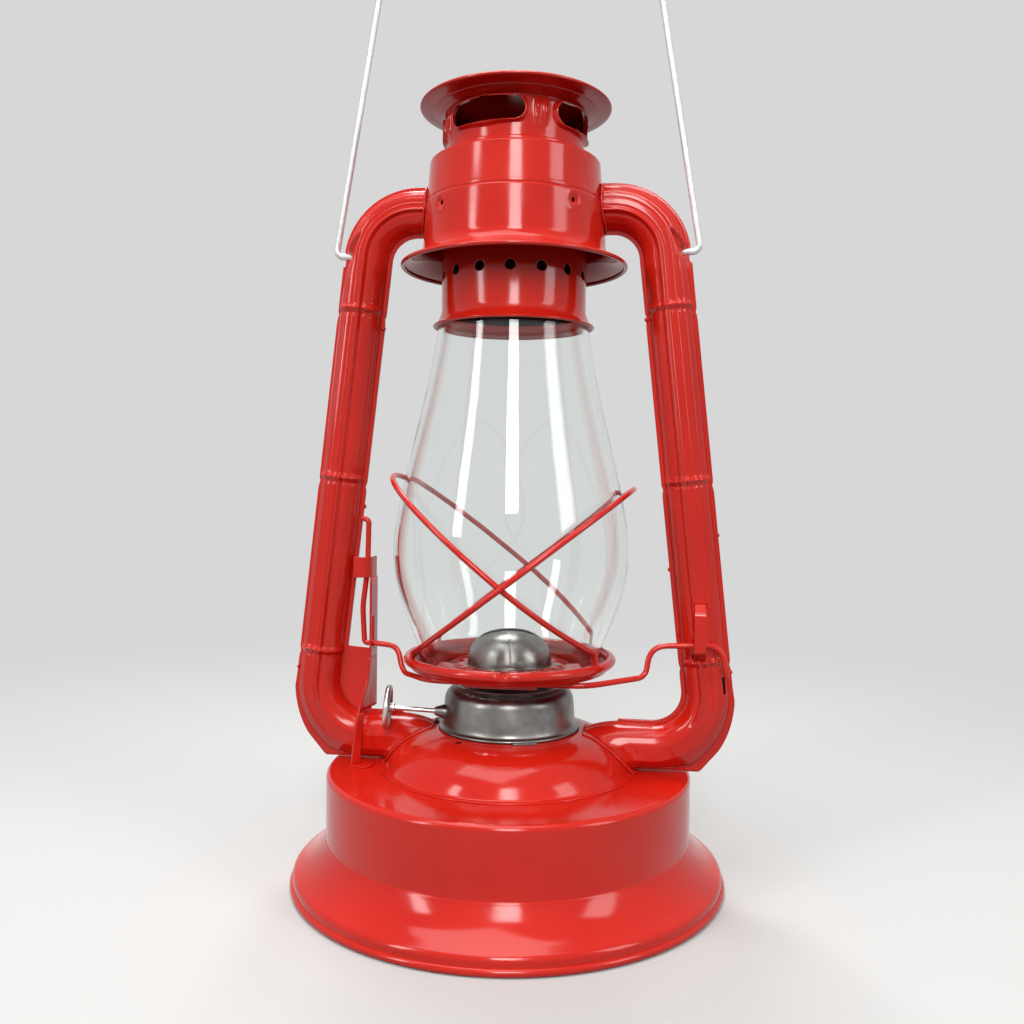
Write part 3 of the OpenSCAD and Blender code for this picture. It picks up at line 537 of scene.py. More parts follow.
for side, face, turn_x, turn_y, ridge_u in (
        ("right", "front", 1, 1, -2.4 * mm), ("right", "back", 1, -1, -0.6 * mm),
        ("left", "front", -1, 1, -0.6 * mm), ("left", "back", -1, -1, -2.4 * mm)):
    half_points = tube_half(ridge_u)
    gone = lanced(half_points, tube_section(ridge_u)[0]) if (side, face) == ("right", "front") else None
    half = sheet_piece(f"{side}_tube_{face}_half", half_points * [turn_x, turn_y, 1], enamel, tube_t,
                       turn_x * turn_y > 0, gone=gone)
    fix(half, "frame", f"{side}_tube_{face}")


def run_x(z):
    """Distance of the middle of the tube's straight run from the axis, at a height."""
    low = low_c + lower_bend * np.array([math.cos(tube_tilt), math.sin(tube_tilt)])
    return low[0] - (z - low[1]) * math.tan(tube_tilt)


# Each drop: which tube, inner or outer flange, front or back, and height.
drop_side, drop_flange, drop_face, drop_z = np.array([
    [-1, -1, -1, 128], [-1, -1, -1, 92], [-1, 1, -1, 88], [1, -1, -1, 241], [1, 1, -1, 92], [-1, -1, -1, 238],
    [1, 1, 1, 150], [-1, -1, 1, 160], [1, -1, 1, 135]]).T
drop_x = drop_side * (run_x(drop_z * mm) + drop_flange * (tube_out - 0.4 * mm) / math.cos(tube_tilt))
drop_places = np.stack([drop_x, drop_face * 0.7 * mm, drop_z * mm], 1)
drop_sizes = np.linspace(0.8, 1.15, len(drop_places)) * mm
ball, faces = lathe(arc([0, 0], 1, -90, 90, 8), around(14))
drops = piece("seam_drops", drop_places[:, None] + drop_sizes[:, None, None] * ball, [
    [corner + k * len(ball) for corner in face] for k in range(len(drop_places)) for face in faces], enamel)
fix(drops, "frame")


# Tube saddles: the thin rims that the tubes' ends are opened out into, soldered round the hood and the dome.
# Each enamelled rim follows the curved wall that it lies on.
rim_w = 1.5 * mm
saddle_w = 2.2 * mm
saddle_t = 0.4 * mm
saddle_gap = 0.3 * mm
saddle_lift = np.array([[0.8], [0.6], [0.5], [0.5], [0.25]]) * mm


def saddle(wall, height, width, wide=1.0, up=1.0, nearest=0.0):
    """A rim round a tube's end, opened by factors sideways and upwards: points at an angle round the tube
    and a distance out from it, each put on the curved wall that it meets and lifted off it by a little."""
    angle = np.linspace(0, 2 * np.pi, 96, endpoint=False)
    reach = tube_r + np.linspace(0, width, len(saddle_lift))[:, None]
    y, rise = reach * wide * np.cos(angle), reach * np.sin(angle)
    z = np.maximum(height + rise * np.where(rise > 0, up, wide), shelf_h + saddle_gap)
    radius = wall(z) + saddle_lift
    x = np.maximum(np.sqrt(np.maximum(radius ** 2 - y ** 2, 0)), nearest)
    return np.stack([x, y, z], -1)


for side, turn_x in (("right", 1), ("left", -1)):
    for name, points in (("hood", saddle(outer_wall, leg_z, rim_w)),
                         ("dome", saddle(dome_wall, low_z, saddle_w, end_open, end_up, end_x - 0.5 * mm))):
        rim = sheet_piece(f"{side}_{name}_saddle", points * [turn_x, 1, 1], enamel, saddle_t,
                          turn_x < 0, True)
        fix(rim, "frame")


# Hood: two pressed and enamelled rings. The lower one flares into a brim with a rolled edge and has four
# punched dimples with small holes, and the upper one is tucked into it and turned in at the top.
brim_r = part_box("hood_lower")[1].x
ring_r = seam_r - sheet - solder_gap
ring_top_r = ring_r - 1.1 * mm
ring_corner = 1.1 * mm
chimney_r = 31 * mm
throat_r = chimney_r + 0.35 * mm + sheet
dimple_z = seam_z - 4.6 * mm
dimple_angles = np.radians([45, 135, 225, 315])
dimple_depth = 0.8 * mm
dimple_floor = 1.6 * mm
dimple_slope = 2.4 * mm
dimple_edge = 0.2 * mm
dimple_ring = 3.4 * mm
dimple_hole = 0.85 * mm


def skin(points, thickness):
    """Closed outline of a sheet that lies on the left of a line: each point of its other side is reached
    along the mean of the normals before and after it, mitred."""
    step = np.diff(points, axis=0)
    step = step / np.linalg.norm(step, axis=1)[:, None]
    normal = np.stack([-step[:, 1], step[:, 0]], 1)
    before, after = np.vstack([normal[:1], normal]), np.vstack([normal, normal[-1:]])
    other = points + thickness * (before + after) / (1 + (before * after).sum(1))[:, None]
    return np.vstack([points, other[::-1]])


hood_line = line(
    arc([brim_r - brim_bead, brim_z], brim_bead, -170, 110, 16),
    bend([brim_r - brim_bead - 0.6 * mm, brim_z + 0.9 * mm], [hood_r + 0.8 * mm, brim_z + 2.4 * mm],
         [hood_r, brim_z + flare_h], 22),
    [seam_r + 0.05 * mm, seam_z - 0.7 * mm],
    [seam_r - 0.25 * mm, seam_z])
hood_points = spun(spaced(hood_line, 0.38 * mm), around(208, dimple_angles, 0.13, 44))
dimple_r = outer_wall(dimple_z)
dimples = polar(dimple_r, dimple_angles, dimple_z)
off = np.linalg.norm(hood_points[:, :, None] - dimples, axis=-1).min(-1)
press = dimple_edge * bump(off - dimple_ring, 0.9 * mm)
press -= dimple_depth * falling(off, dimple_floor, dimple_slope)
hood_points[..., :2] *= 1 + (press / hood_r)[..., None]
floors = dimples * [1 - dimple_depth / dimple_r, 1 - dimple_depth / dimple_r, 1]
hood = sheet_piece("hood_lower_ring", hood_points, enamel, sheet, closed=True, holes=floors,
                   hole_r=dimple_hole)
fix(hood, "frame", "hood_lower")

ring_line = line(
    [ring_r, seam_z - 1.5 * mm],
    [ring_r, seam_z],
    [ring_r, seam_z] + bend([0.25, 0.5], [0.3, 1.2], [0, 2.2], 6) * mm,
    arc([ring_top_r - ring_corner, hood_top - ring_corner], ring_corner, 4, 90, 10),
    [throat_r, hood_top] + bend([1.6, 0], [0, 0.2], [0, 2.2], 8) * mm)
ring = piece("hood_upper_ring", *lathe(skin(ring_line, sheet), around(224)), enamel)
fix(ring, "frame", "hood_upper")


# Burner drum: a spun tinned can with a rolled foot and three bayonet tabs that lock it into the dome.
# Its shoulder is stepped in below the globe plate, and the bush of the wick shaft stands out of its side.
drum_top = burner_z + 18 * mm
plate_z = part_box("globe")[0].z
cone_r = 18.2 * mm
drum_neck_r = cone_r - sheet - 0.6 * mm
bayonet_r = drum_r + 3.6 * mm
bayonet_t = 0.9 * mm
bayonet_span = 22
edge_r = 0.2 * mm

drum_line = line(
    [drum_r, burner_z] + line([1.4, 0], arc([1.4, 0.7], 0.7, -90, 80, 8),
                              bend([1.2, 1.6], [0.2, 2], [0, 5], 8)) * mm,
    [drum_r, drum_top] + line([-0.5, -6], bend([-0.6, -5.5], [-0.9, -1.2], [-5, -0.3], 12), [-5.8, -0.1],
                              bend([-6.1, 0], [-6.6, 0.1], [-6.8, 0.8], 5)) * mm,
    [drum_neck_r + 1 * mm, drum_top + 0.9 * mm],
    [drum_neck_r, drum_top + 1.6 * mm],
    [drum_neck_r, plate_z - 1.2 * mm])
drum = piece("burner_can", *lathe(skin(drum_line, sheet), around(256)), tin)
fix(drum, "frame", "burner_drum")


def prism(name, outline, low, high, finish, place=Matrix()):
    """A flat outline in XY raised from a low to a high Z, put in place by a matrix, its edges rounded."""
    count = len(outline)
    corners = np.hstack([np.vstack([outline, outline]), np.repeat([low, high], count)[:, None]])
    corners = corners @ np.array(place.to_3x3()).T + np.array(place.translation)
    j = np.arange(count)
    k = (j + 1) % count
    faces = np.stack([j, k, k + count, j + count], 1).tolist() + [j[::-1].tolist(), (j + count).tolist()]
    made = piece(name, corners, faces, finish)
    edge = made.modifiers.new("edge", "BEVEL")
    edge.width = edge_r
    edge.segments = 2
    edge.limit_method = "ANGLE"
    edge.harden_normals = True
    return made


for number, start in enumerate((-82, 38, 158)):
    outline = line(arc([0, 0], drum_r + 1.2 * mm, start, start + bayonet_span, 10),
                   arc([0, 0], bayonet_r, start + bayonet_span - 2, start + 2, 10))
    bayonet = prism(f"bayonet_tab_{number}", outline, burner_z, burner_z + bayonet_t, tin)
    fix(bayonet, "frame")
dress(tin, "air_strainer", "wick_tube", "shaft_bush")


# Wick: a flat woven cotton tape that runs up through the wick tube from the tank. Its weave shows as fine
# ribs across the tape, and its top edge is singed.
wick_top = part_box("wick")[1].z
singed_h = 3 * mm
cotton, shader, place = new_finish("wick_cotton")
tree = place.id_data
weave = node(tree, "TexWave", {"Vector": place, "Scale": 420, "Distortion": 3, "Detail": 2}, "Fac",
             bands_direction="Z")
height = node(tree, "SeparateXYZ", {"Vector": place}, "Z")
singe = node(tree, "MapRange", {"Value": height, "From Min": wick_top - singed_h, "From Max": wick_top},
             "Result")
feed(shader, {
    "Base Color": shades(singe, (0.0, (0.72, 0.66, 0.52)), (0.6, (0.45, 0.36, 0.24)),
                         (1.0, (0.05, 0.04, 0.03))),
    "Roughness": 0.9,
    "Normal": relief(weave, 0.6, 0.3 * mm)})
dress(cotton, "wick")


# Wick drive: a bright steel shaft in the bush and two bearings, with two toothed wheels that bite the wick.
# A dished knob with a rolled edge is riveted on its outer end.
drive = next(joint for joint in frame["joints"] if joint["name"] == "wick_knob_turn")
inward = np.array(drive["axis"]) / np.linalg.norm(drive["axis"])
knob_out = 53 * mm
knob_c = np.array(drive["pos_m"]) - knob_out * inward
# The knob's radius and rim are in millimetres, as its profile is.
knob_r = 9.7
knob_rim = 1.25

steel, shader, place = new_finish("bright_steel")
brushed = node(place.id_data, "Mapping", {"Vector": place, "Scale": (1, 1, 3)})
streak = mottle(brushed, 110, 3)
feed(shader, {
    "Base Color": shades(streak, (0.3, (0.46, 0.46, 0.455)), (0.7, (0.60, 0.60, 0.59))),
    "Roughness": spread(streak, 0.26, 0.38),
    "Metallic": 1,
    "Normal": relief(streak, 0.06, 0.1 * mm)})
dress(steel, "spur_wheels", "wick_shaft")


def along(points, origin, direction):
    """Points whose Z is turned to a direction and whose origin is moved to a place."""
    z = direction / np.linalg.norm(direction)
    x = np.cross([0, 0, 1.0], z)
    x /= np.linalg.norm(x)
    return origin + points @ np.stack([x, np.cross(z, x), z])


knob_line = line(
    [0, -1.3], [1.2, -1.3], bend([1.3, -1.2], [1.6, -0.9], [2.2, -0.9], 4),
    bend([3.2, -0.9], [4.6, -0.9], [6, 0.1], 8),
    arc([knob_r - knob_rim, 0.5], knob_rim, -150, 150, 20),
    bend([6.2, 0.7], [5, 0], [3.2, -0.3], 8), bend([2.4, -0.3], [2.1, -0.3], [2.1, 0.4], 5),
    [2.1, 3.1], [1.8, 3.4], [0, 3.4]) * mm
corners, faces = lathe(knob_line, around(96))
knob = piece("wick_knob_disc", along(corners, knob_c, inward), faces, steel)
fix(knob, "wick_drive", "wick_knob")


# Globe plate: a pressed dish with a beaded rim that carries the globe, pierced with a ring of air holes.
# It is enamelled, and it goes up and down with the lift wire.
plate_rim_z = plate_z + 4 * mm
rim_bead = 1.5 * mm
plate_bead_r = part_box("globe_plate")[1].x - rim_bead
plate_holes = 24
plate_hole_d = 3 * mm
plate_ring = 22.9 * mm
ring_half = 2.4 * mm
raised_z = plate_z + 1.6 * mm
pinch_angle = math.radians(-86)
pinch_in = 0.02
pinch_down = 0.8 * mm
bead_steps = 24
edge_gap = 0.002 * mm


def stadium(width, height, count):
    """Points of a slot with round ends, evenly spaced from its right-hand end anticlockwise. The angle grows
    along the round ends, and the middle that it turns about moves along the straight sides."""
    straight, bow = width - height, math.pi * height / 2
    ends = np.cumsum([0, bow / 2, straight, bow, straight, bow / 2])
    t = np.linspace(0, ends[-1], count, endpoint=False)
    angle = np.interp(t, ends, np.radians([0, 90, 90, 270, 270, 360]))
    middle = straight * np.interp(t, ends, [0.5, 0.5, -0.5, -0.5, 0.5, 0.5])
    return np.stack([middle + height / 2 * np.cos(angle), height / 2 * np.sin(angle)], 1)


def pierced(half_w, half_h, hole, across, up, shares):
    """A rectangle round a hole: rows go from the hole's outline to the rectangle's by shares, with a number
    of steps across and up each side. Gives rows by points of (a, b) about the middle."""
    a = np.linspace(half_w, -half_w, across, endpoint=False)
    b = np.linspace(-half_h, half_h, up, endpoint=False)
    box = np.vstack([np.stack([0 * b + half_w, b], 1), np.stack([a, 0 * a + half_h], 1),
                     np.stack([0 * b - half_w, -b], 1), np.stack([-a, 0 * a - half_h], 1)])
    inner = np.roll(hole, up // 2, axis=0)
    s = np.asarray(shares)[:, None, None]
    return (1 - s) * inner + s * box


def cell_angles(count, first, across):
    """Angles round a ring of cells in steps across each, where the first cell's middle is at an angle."""
    return np.linspace(0, 2 * np.pi, count * across, endpoint=False) + first + np.pi / count


def repeated(turn, radius, z, count, first):
    """A closed grid given by angle, radius and height, a number of times round the axis from an angle."""
    return [(polar(radius, turn + a, z), True) for a in first + np.arange(count) * (2 * np.pi / count)]


def joined(name, grids, finish, thickness):
    """Grids of points (points, whether each row is a closed loop) as one sheet with shared edges."""
    faces, corners, count = [], [], 0
    for points, closed in grids:
        faces.append(grid_faces(points.shape[0], points.shape[1], False, closed) + count)
        corners.append(points.reshape(-1, 3))
        count += len(corners[-1])
    corners = np.vstack(corners)
    keys, same = np.unique(np.round(corners / edge_gap).astype(np.int64), axis=0, return_inverse=True)
    first = np.zeros(len(keys), int)
    first[same.ravel()[::-1]] = np.arange(len(corners))[::-1]
    shared = same.ravel()[np.vstack(faces)].tolist()
    return thicken(piece(name, corners[first], shared, finish, 30), thickness)


plate_across, plate_up = 10, 6
plate_angles = cell_angles(plate_holes, 0, plate_across)
cells = pierced(np.pi / plate_holes, ring_half, stadium(plate_hole_d, plate_hole_d, 32) / [plate_ring, 1],
                plate_across, plate_up, [0, 0.12, 0.4, 1])[::-1]
outer_dish = line(
    arc([plate_bead_r, plate_rim_z], rim_bead, 230, -112, bead_steps),
    [plate_bead_r, plate_z] + bend([-1.3, 1.1], [-2, 0], [-3.2, 0], 6) * mm,
    [34.8 * mm, plate_z],
    [0, plate_z] + line(bend([33.8, 0], [32.6, 0], [31.8, 0.9], 5),
                        bend([31.8, 0.9], [31.2, 1.6], [30, 1.6], 5)) * mm,
    [plate_ring + ring_half, raised_z])
inner_dish = line([plate_ring - ring_half, raised_z], [cone_r - 0.3 * mm, raised_z])
dish = spun(outer_dish, plate_angles)
off_pinch = np.angle(np.exp(1j * (plate_angles - pinch_angle))) * plate_bead_r
dish[:bead_steps, :, :2] *= 1 - (pinch_in * bump(off_pinch, 1.6 * mm))[None, :, None]
dish[:bead_steps, :, 2] -= pinch_down * bump(off_pinch, 2 * mm)
plate_grids = repeated(cells[..., 0], plate_ring + cells[..., 1], raised_z, plate_holes, 0)
plate_grids += [(dish, True), (spun(inner_dish, plate_angles), True)]
fix(joined("globe_dish", plate_grids, enamel, sheet), "carriage", "globe_plate")
dress(enamel, "plate_clip")


# Burner cone: a domed tin cap over the wick, with a long slot for the flame. It is crimped into the globe
# plate, and a seam runs down its front.
cone_t = sheet * 0.8
cone_h = 15.2 * mm
slot_w = 26 * mm
slot_t = 7.4 * mm
burner_turn = math.radians(188)
seam_angle = math.radians(-82.5)
seam_depth = 0.22 * mm
seam_w = 0.3 * mm

cone_line = line(
    bend([0, raised_z + cone_h], [cone_r - 0.8 * mm, raised_z + cone_h], [cone_r, plate_z + 3 * mm], 40),
    [cone_r, raised_z] + line([0, 0.9], bend([0.1, 0.8], [0.2, 0.6], [2.2, 0.6], 6)) * mm)
slot = stadium(slot_w, slot_t, 240)
slot_turn = np.unwrap(np.arctan2(slot[:, 1], slot[:, 0]))
even = np.linspace(0, 2 * np.pi, 360, endpoint=False)
slot_far = np.interp(even, np.append(slot_turn, 2 * np.pi), np.append(np.hypot(*slot.T), slot_w / 2))
length = travel(cone_line)
begin = np.interp(slot_far, cone_line[:, 0], length)
down = begin + (length[-1] - begin) * np.linspace(0, 1, 60)[:, None]
cone_x, cone_z = np.interp(down, length, cone_line[:, 0]), np.interp(down, length, cone_line[:, 1])
cone_turn = even + burner_turn
off_seam = np.angle(np.exp(1j * (cone_turn - seam_angle))) * cone_x
on_wall = (cone_z < raised_z + 0.85 * cone_h) & (cone_x < cone_r + 0.01 * mm)
cone_x -= seam_depth * bump(off_seam, seam_w) * on_wall
cone = sheet_piece("flame_cone", polar(cone_x, cone_turn, cone_z), tin, cone_t, True, True)
fix(cone, "carriage", "burner_cone")


# Globe: clear blown glass with ground ends, which stands loose in the plate and is held down by the chimney.
# The glass is faintly wavy.
globe_t = 2.4 * mm


def curve(a, b, c, d, steps=40):
    """Cubic curve from its first point to its last, drawn towards the two between."""
    t = np.linspace(0, 1, steps + 1)[:, None]
    return (1 - t) ** 3 * a + 3 * t * (1 - t) ** 2 * b + 3 * t * t * (1 - t) * c + t ** 3 * d


glass, shader, place = new_finish("clear_glass")
feed(shader, {
    "Base Color": (0.97, 0.99, 0.98, 1),
    "Transmission Weight": 1,
    "Roughness": 0,
    "IOR": 1.45,
    "Normal": relief(mottle(place, 30), 0.25, 0.6 * mm)})
globe_line = line(
    [39.2, 91],
    curve([39.2, 98], [39.6, 103], [50.9, 121], [50.9, 141]),
    curve([50.9, 141], [50.9, 165], [38.5, 194.9], [32.2, 238.9], 60)) * mm
globe = piece("glass_globe", *lathe(skin(globe_line, globe_t), around(192)), glass, 50)
fix(globe, "carriage", "globe")


# Chimney: a rolled sleeve that rests on the globe with a flared lip, slides in the hood's throat and has a
# ring of air holes under the brim. It is enamelled outside, and its inside is painted dark and dull as
# painted shade.
chimney_holes = 15
chimney_hole_d = 4.3 * mm
chimney_first = math.radians(-86)
hole_z = 258.9 * mm
chimney_low = 237.4 * mm
crown_join = 300 * mm
band_half = 3.6 * mm
lip_roll = 0.6 * mm
# Painted shade: the dark colour given to the insides of the chimney and the crown neck so that they look
# shaded.
painted_shade_black = (0.012, 0.01, 0.009, 1)


def lined_with_painted_shade(radius):
    """Red enamel, but dark and dull (painted shade) wherever a point is nearer to the axis than a radius."""
    finish = enamel.copy()
    tree = finish.node_tree
    shader = tree.nodes["Principled BSDF"]
    colour, roughness = (shader.inputs[name].links[0].from_socket for name in ("Base Color", "Roughness"))
    place = tree.nodes["Texture Coordinate"].outputs["Object"]
    flat = node(tree, "VectorMath", {0: place, 1: (1, 1, 0)}, operation="MULTIPLY")
    reach = node(tree, "VectorMath", {0: flat}, "Value", operation="LENGTH")
    inside = node(tree, "Math", {0: reach, 1: radius}, operation="LESS_THAN")
    gloss = shader.inputs["Specular IOR Level"].default_value
    # Inside the radius the enamel is painted dark, rough and nearly without gloss, as painted shade.
    feed(shader, {
        "Base Color": node(tree, "Mix", {0: inside, 6: colour, 7: painted_shade_black}, 2, data_type="RGBA"),
        "Roughness": node(tree, "Mix", {0: inside, 2: roughness, 3: 0.85}),
        "Specular IOR Level": node(tree, "Mix", {0: inside, 2: gloss, 3: 0.06})})
    return finish


chimney_across, chimney_up = 16, 8
chimney_angles = cell_angles(chimney_holes, chimney_first, chimney_across)
chimney_hole = stadium(chimney_hole_d, chimney_hole_d, 48) / [chimney_r, 1]
cells = pierced(np.pi / chimney_holes, band_half, chimney_hole, chimney_across, chimney_up,
                [0, 0.08, 0.25, 0.55, 1])[::-1]
lip_line = line(
    arc([chimney_r + 3.1 * mm, chimney_low + lip_roll], lip_roll, -180, 20, 8),
    [chimney_r, chimney_low] + bend([3.4, 0.9], [1.2, 2], [0, 7], 14) * mm,
    [chimney_r, hole_z - band_half])
pipe_line = line([chimney_r, hole_z + band_half], [chimney_r, crown_join])
chimney_grids = repeated(cells[..., 0], chimney_r, hole_z + cells[..., 1], chimney_holes, chimney_first)
chimney_grids += [(spun(lip_line, chimney_angles), True), (spun(pipe_line, chimney_angles), True)]
# The sleeve's inside wall carries the painted shade.
chimney = joined("chimney_tube", chimney_grids, lined_with_painted_shade(chimney_r - sheet / 2), sheet)
fix(chimney, "crown", "chimney_sleeve")


# Crown neck: the top of the chimney, pressed out of one sheet with four long windows whose edges are rolled
# out. It has the sleeve's finish, with its painted shade inside, and is lifted with it and the cap to take
# out the globe.
windows = 4
neck_r = 29.4 * mm
neck_top = 327 * mm
window_h = 10 * mm
window_z = 316.2 * mm
window_turn = math.radians(-18)
window_w = math.radians(64) * neck_r
window_lip = 1.9 * mm
lip_w = 1.9 * mm
pillar_rib = 1.1 * mm

neck_across, neck_up = 44, 16
neck_angles = cell_angles(windows, window_turn, neck_across)
low_edge, high_edge = window_z - 3 * mm, neck_top + 0.3 * mm
middle_z = (low_edge + high_edge) / 2
half_w, half_h = np.pi / windows * neck_r, (high_edge - low_edge) / 2
window = stadium(window_w, window_h, 2 * (neck_across + neck_up)) + [0, window_z + window_h / 2 - middle_z]
shares = np.concatenate([np.linspace(0, 0.4, 14), np.linspace(0.4, 1, 12)[1:]])
cells = pierced(half_w, half_h, window, neck_across, neck_up, shares)[::-1]
off_window = np.linalg.norm(cells - cells[-1:], axis=-1)
lip = window_lip * (1 - np.clip(off_window / lip_w, 0, 1) ** 2) ** 2
off_pillar = half_w - np.abs(cells[..., 0])
rib = bump(off_pillar - 1.7 * mm, 0.7 * mm) + 0.9 * bump(off_pillar, 2.8 * mm)
rib *= pillar_rib * bump(cells[..., 1] - 1 * mm, 5 * mm)
above_foot = np.clip((cells[..., 1] / half_h + 1) * 4, 0, 1)
neck_grids = repeated(cells[..., 0] / neck_r, neck_r + (lip + rib) * above_foot, middle_z + cells[..., 1],
                      windows, window_turn)
skirt_line = line(
    [chimney_r, crown_join],
    bend([chimney_r, hood_top + 1.6 * mm], [chimney_r + 0.3 * mm, hood_top + 2.9 * mm],
         [neck_r + 0.5 * mm, hood_top + 3.1 * mm], 8),
    [neck_r, hood_top] + bend([0.2, 3.2], [0, 3.3], [0, 4], 4) * mm,
    [neck_r, low_edge])
neck_grids.append((spun(skirt_line, neck_angles), True))
# The neck's inside wall carries the painted shade.
neck = joined("crown_neck_ring", neck_grids, lined_with_painted_shade(neck_r - sheet / 2), sheet)
fix(neck, "crown", "crown_neck")


# Crown cap: a spun and enamelled saucer with a thin edge and step rings pressed into its underside.
# It is soldered to the top of the neck.
saucer_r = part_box("crown_cap")[1].x
saucer_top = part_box("crown_cap")[1].z
saucer_z = neck_top + 3.4 * mm
saucer_edge = 0.6 * mm
dome_bend = saucer_r * 0.6

dome_inside = line(
    [0, saucer_top - sheet],
    bend([2 * mm, saucer_top - sheet], [dome_bend, saucer_top - sheet],
         [saucer_r - 2 * mm, saucer_z + 1 * mm], 24),
    [saucer_r - 3 * mm, neck_top + 3 * mm],
    [neck_r, neck_top] + np.array([[1.5, 1.4], [-1, 0.8]]) * mm)
underside = [neck_r, neck_top] + line(
    [-1, 0.1], [0.4, 0.1], bend([0.9, 0.2], [2, 1], [5.2, 1.7], 10),
    bend([5.3, 2.1], [5.9, 2.3], [6.5, 2.3], 5)) * mm
dome_outside = line(
    [saucer_r - 1.2 * mm, saucer_z - 0.6 * mm],
    arc([saucer_r - saucer_edge, saucer_z + 0.2 * mm], saucer_edge, -60, 80, 8),
    bend([saucer_r - 1 * mm, saucer_z + 1.2 * mm], [dome_bend, saucer_top], [2 * mm, saucer_top], 30),
    [0, saucer_top])
saucer = piece("crown_saucer", *lathe(np.vstack([dome_inside, underside, dome_outside]), around(224)), enamel)
fix(saucer, "crown", "crown_cap")


# Lift wire: one bent and enamelled wire from the right tube under the plate to a finger hook on the left.
# It slides in a keeper on the right tube, whose ends are bent into slots, and in a guide on the left one.
wire_r = 1.2 * mm
arm_x = 82.59 * mm
arm_z = 105 * mm
run_z = 89.2 * mm
keeper_y = -11.85 * mm
clip_x = 14.75 * mm
clip_y = -27 * mm
lever = np.array([-64.24, -3, 100]) * mm
tab_z = 129 * mm
hook_z = 154 * mm
keeper_w = 4.7 * mm
keeper_t = 0.8 * mm
keeper_out = 14.45 * mm
keeper_foot = 3 * mm
keeper_in = tube_r - 0.6 * mm


def rounded(corners, cut):
    """A line through corner points, with each corner between the ends cut back by its own distance and bent
    round along a parabola."""
    before, after = corners[:-2] - corners[1:-1], corners[2:] - corners[1:-1]
    start = corners[1:-1] + (cut / np.linalg.norm(before, axis=1))[:, None] * before
    end = corners[1:-1] + (cut / np.linalg.norm(after, axis=1))[:, None] * after
    bends = bend(start[:, None], corners[1:-1, None], end[:, None], 10)
    return line(corners[:1], bends.reshape(-1, 3), corners[-1:])


def wire(name, path, radius, up, finish):
    """A round wire along a path. Each ring lies across the path, turned by the direction up, and smaller
    rings round off its ends."""
    step = np.gradient(path, axis=0)
    step /= np.linalg.norm(step, axis=1)[:, None]
    tip = np.radians([12, 35, 58, 80])
    head = path[0] - step[0] * radius * np.sin(tip)[::-1, None]
    tail = path[-1] + step[-1] * radius * np.sin(tip)[:, None]
    size = np.concatenate([radius * np.cos(tip)[::-1], np.full(len(path), radius), radius * np.cos(tip)])
    step = np.vstack([np.repeat(step[:1], len(tip), 0), step, np.repeat(step[-1:], len(tip), 0)])
    path = np.vstack([head, path, tail])
    across = np.cross(step, up)
    across /= np.linalg.norm(across, axis=1)[:, None]
    over = np.cross(across, step)
    sides = 18
    angle = np.linspace(0, 2 * np.pi, sides, endpoint=False)
    points = path[:, None] + size[:, None, None] * (
        np.cos(angle)[:, None] * across[:, None] + np.sin(angle)[:, None] * over[:, None])
    faces = grid_faces(len(path), sides, False, True)[:, ::-1].tolist()
    faces += [list(range(sides)), list(range((len(path) - 1) * sides, len(path) * sides))[::-1]]
    return piece(name, points, faces, finish, 60)


right_arm = [arm_x, keeper_y, arm_z] + np.array([[9.5, 0, -12.5], [7, 0, 0], [-22, -2.5, -0.6]]) * mm
under_run = np.array([
    [arm_x - 24 * mm, keeper_y - 5 * mm, run_z + 2.6 * mm],
    [clip_x + 20 * mm, clip_y, run_z],
    [-clip_x - 16 * mm, clip_y, run_z],
    [lever[0] + 18.5 * mm, lever[1] - 5 * mm, run_z - 0.8 * mm]])
left_arm = lever + np.array([[15.5, -2.5, -0.6], [4, 0, 0], [0, 0, 0], [-0.9, 0, 16]]) * mm
hook = [*lever[:2], 0] + np.array([
    [1.2 * mm, 0, tab_z + 4 * mm], [1.6 * mm, 0, hook_z], [-1 * mm, 0, hook_z + 1 * mm]])
lift_cuts = np.array([6.5, 7, 3.8, 6, 8, 5, 4.5, 1.6, 1.6, 3, 3, 1.4]) * mm
lift_path = rounded(np.vstack([right_arm, under_run, left_arm, hook]), lift_cuts)
fix(wire("lift_rod", lift_path, wire_r, [0, 1, 0], enamel), "carriage", "lift_wire")

strap_lo, strap_hi = strap_ends
keeper_lo, keeper_hi = strap_lo + keeper_foot, strap_hi - keeper_foot
strap = line(
    [-keeper_in, strap_lo], [-tube_r - keeper_t, strap_lo],
    [-keeper_out, keeper_lo] + bend([0.8, -0.4], [0, 0], [0, 1], 5) * mm,
    [-keeper_out, keeper_hi] + bend([0, -1], [0, 0], [0.8, 0.4], 5) * mm,
    [-tube_r - keeper_t, strap_hi], [-keeper_in, strap_hi])
turned = Matrix(((0, 0, 1, 0), (1, 0, 0, 0), (0, 1, 0, 0), (0, 0, 0, 1)))
keeper = prism("keeper_strap", skin(strap, keeper_t)[::-1], strap_x - keeper_w / 2, strap_x + keeper_w / 2,
               enamel, turned)
fix(keeper, "frame", "wire_keeper")


# Lift guide: a strip of enamelled sheet beside the left tube, with a slot for the wire, a tab that wraps it
# and is soldered to the tube's seam, a web to the tube's bend, and a twisted leg that goes to the shelf.
guide_t = 0.8 * mm
strip_x = -61.4 * mm
strip_front, strip_back = -5.6 * mm, 5 * mm
slot_low, slot_high = 98.2 * mm, 112 * mm
guide_slot = 2.8 * mm
slot_half = 11 * mm
tab_h = 9 * mm
tab_y = -6.6 * mm
tab_bend = 4.2 * mm
web_x = -61.34 * mm
web_top = lever[2] - wire_r - 1.5 * mm
web_out = tube_out - flange_w / 2
leg_top = low_z + tube_out + 1 * mm
leg_low = 48.5 * mm
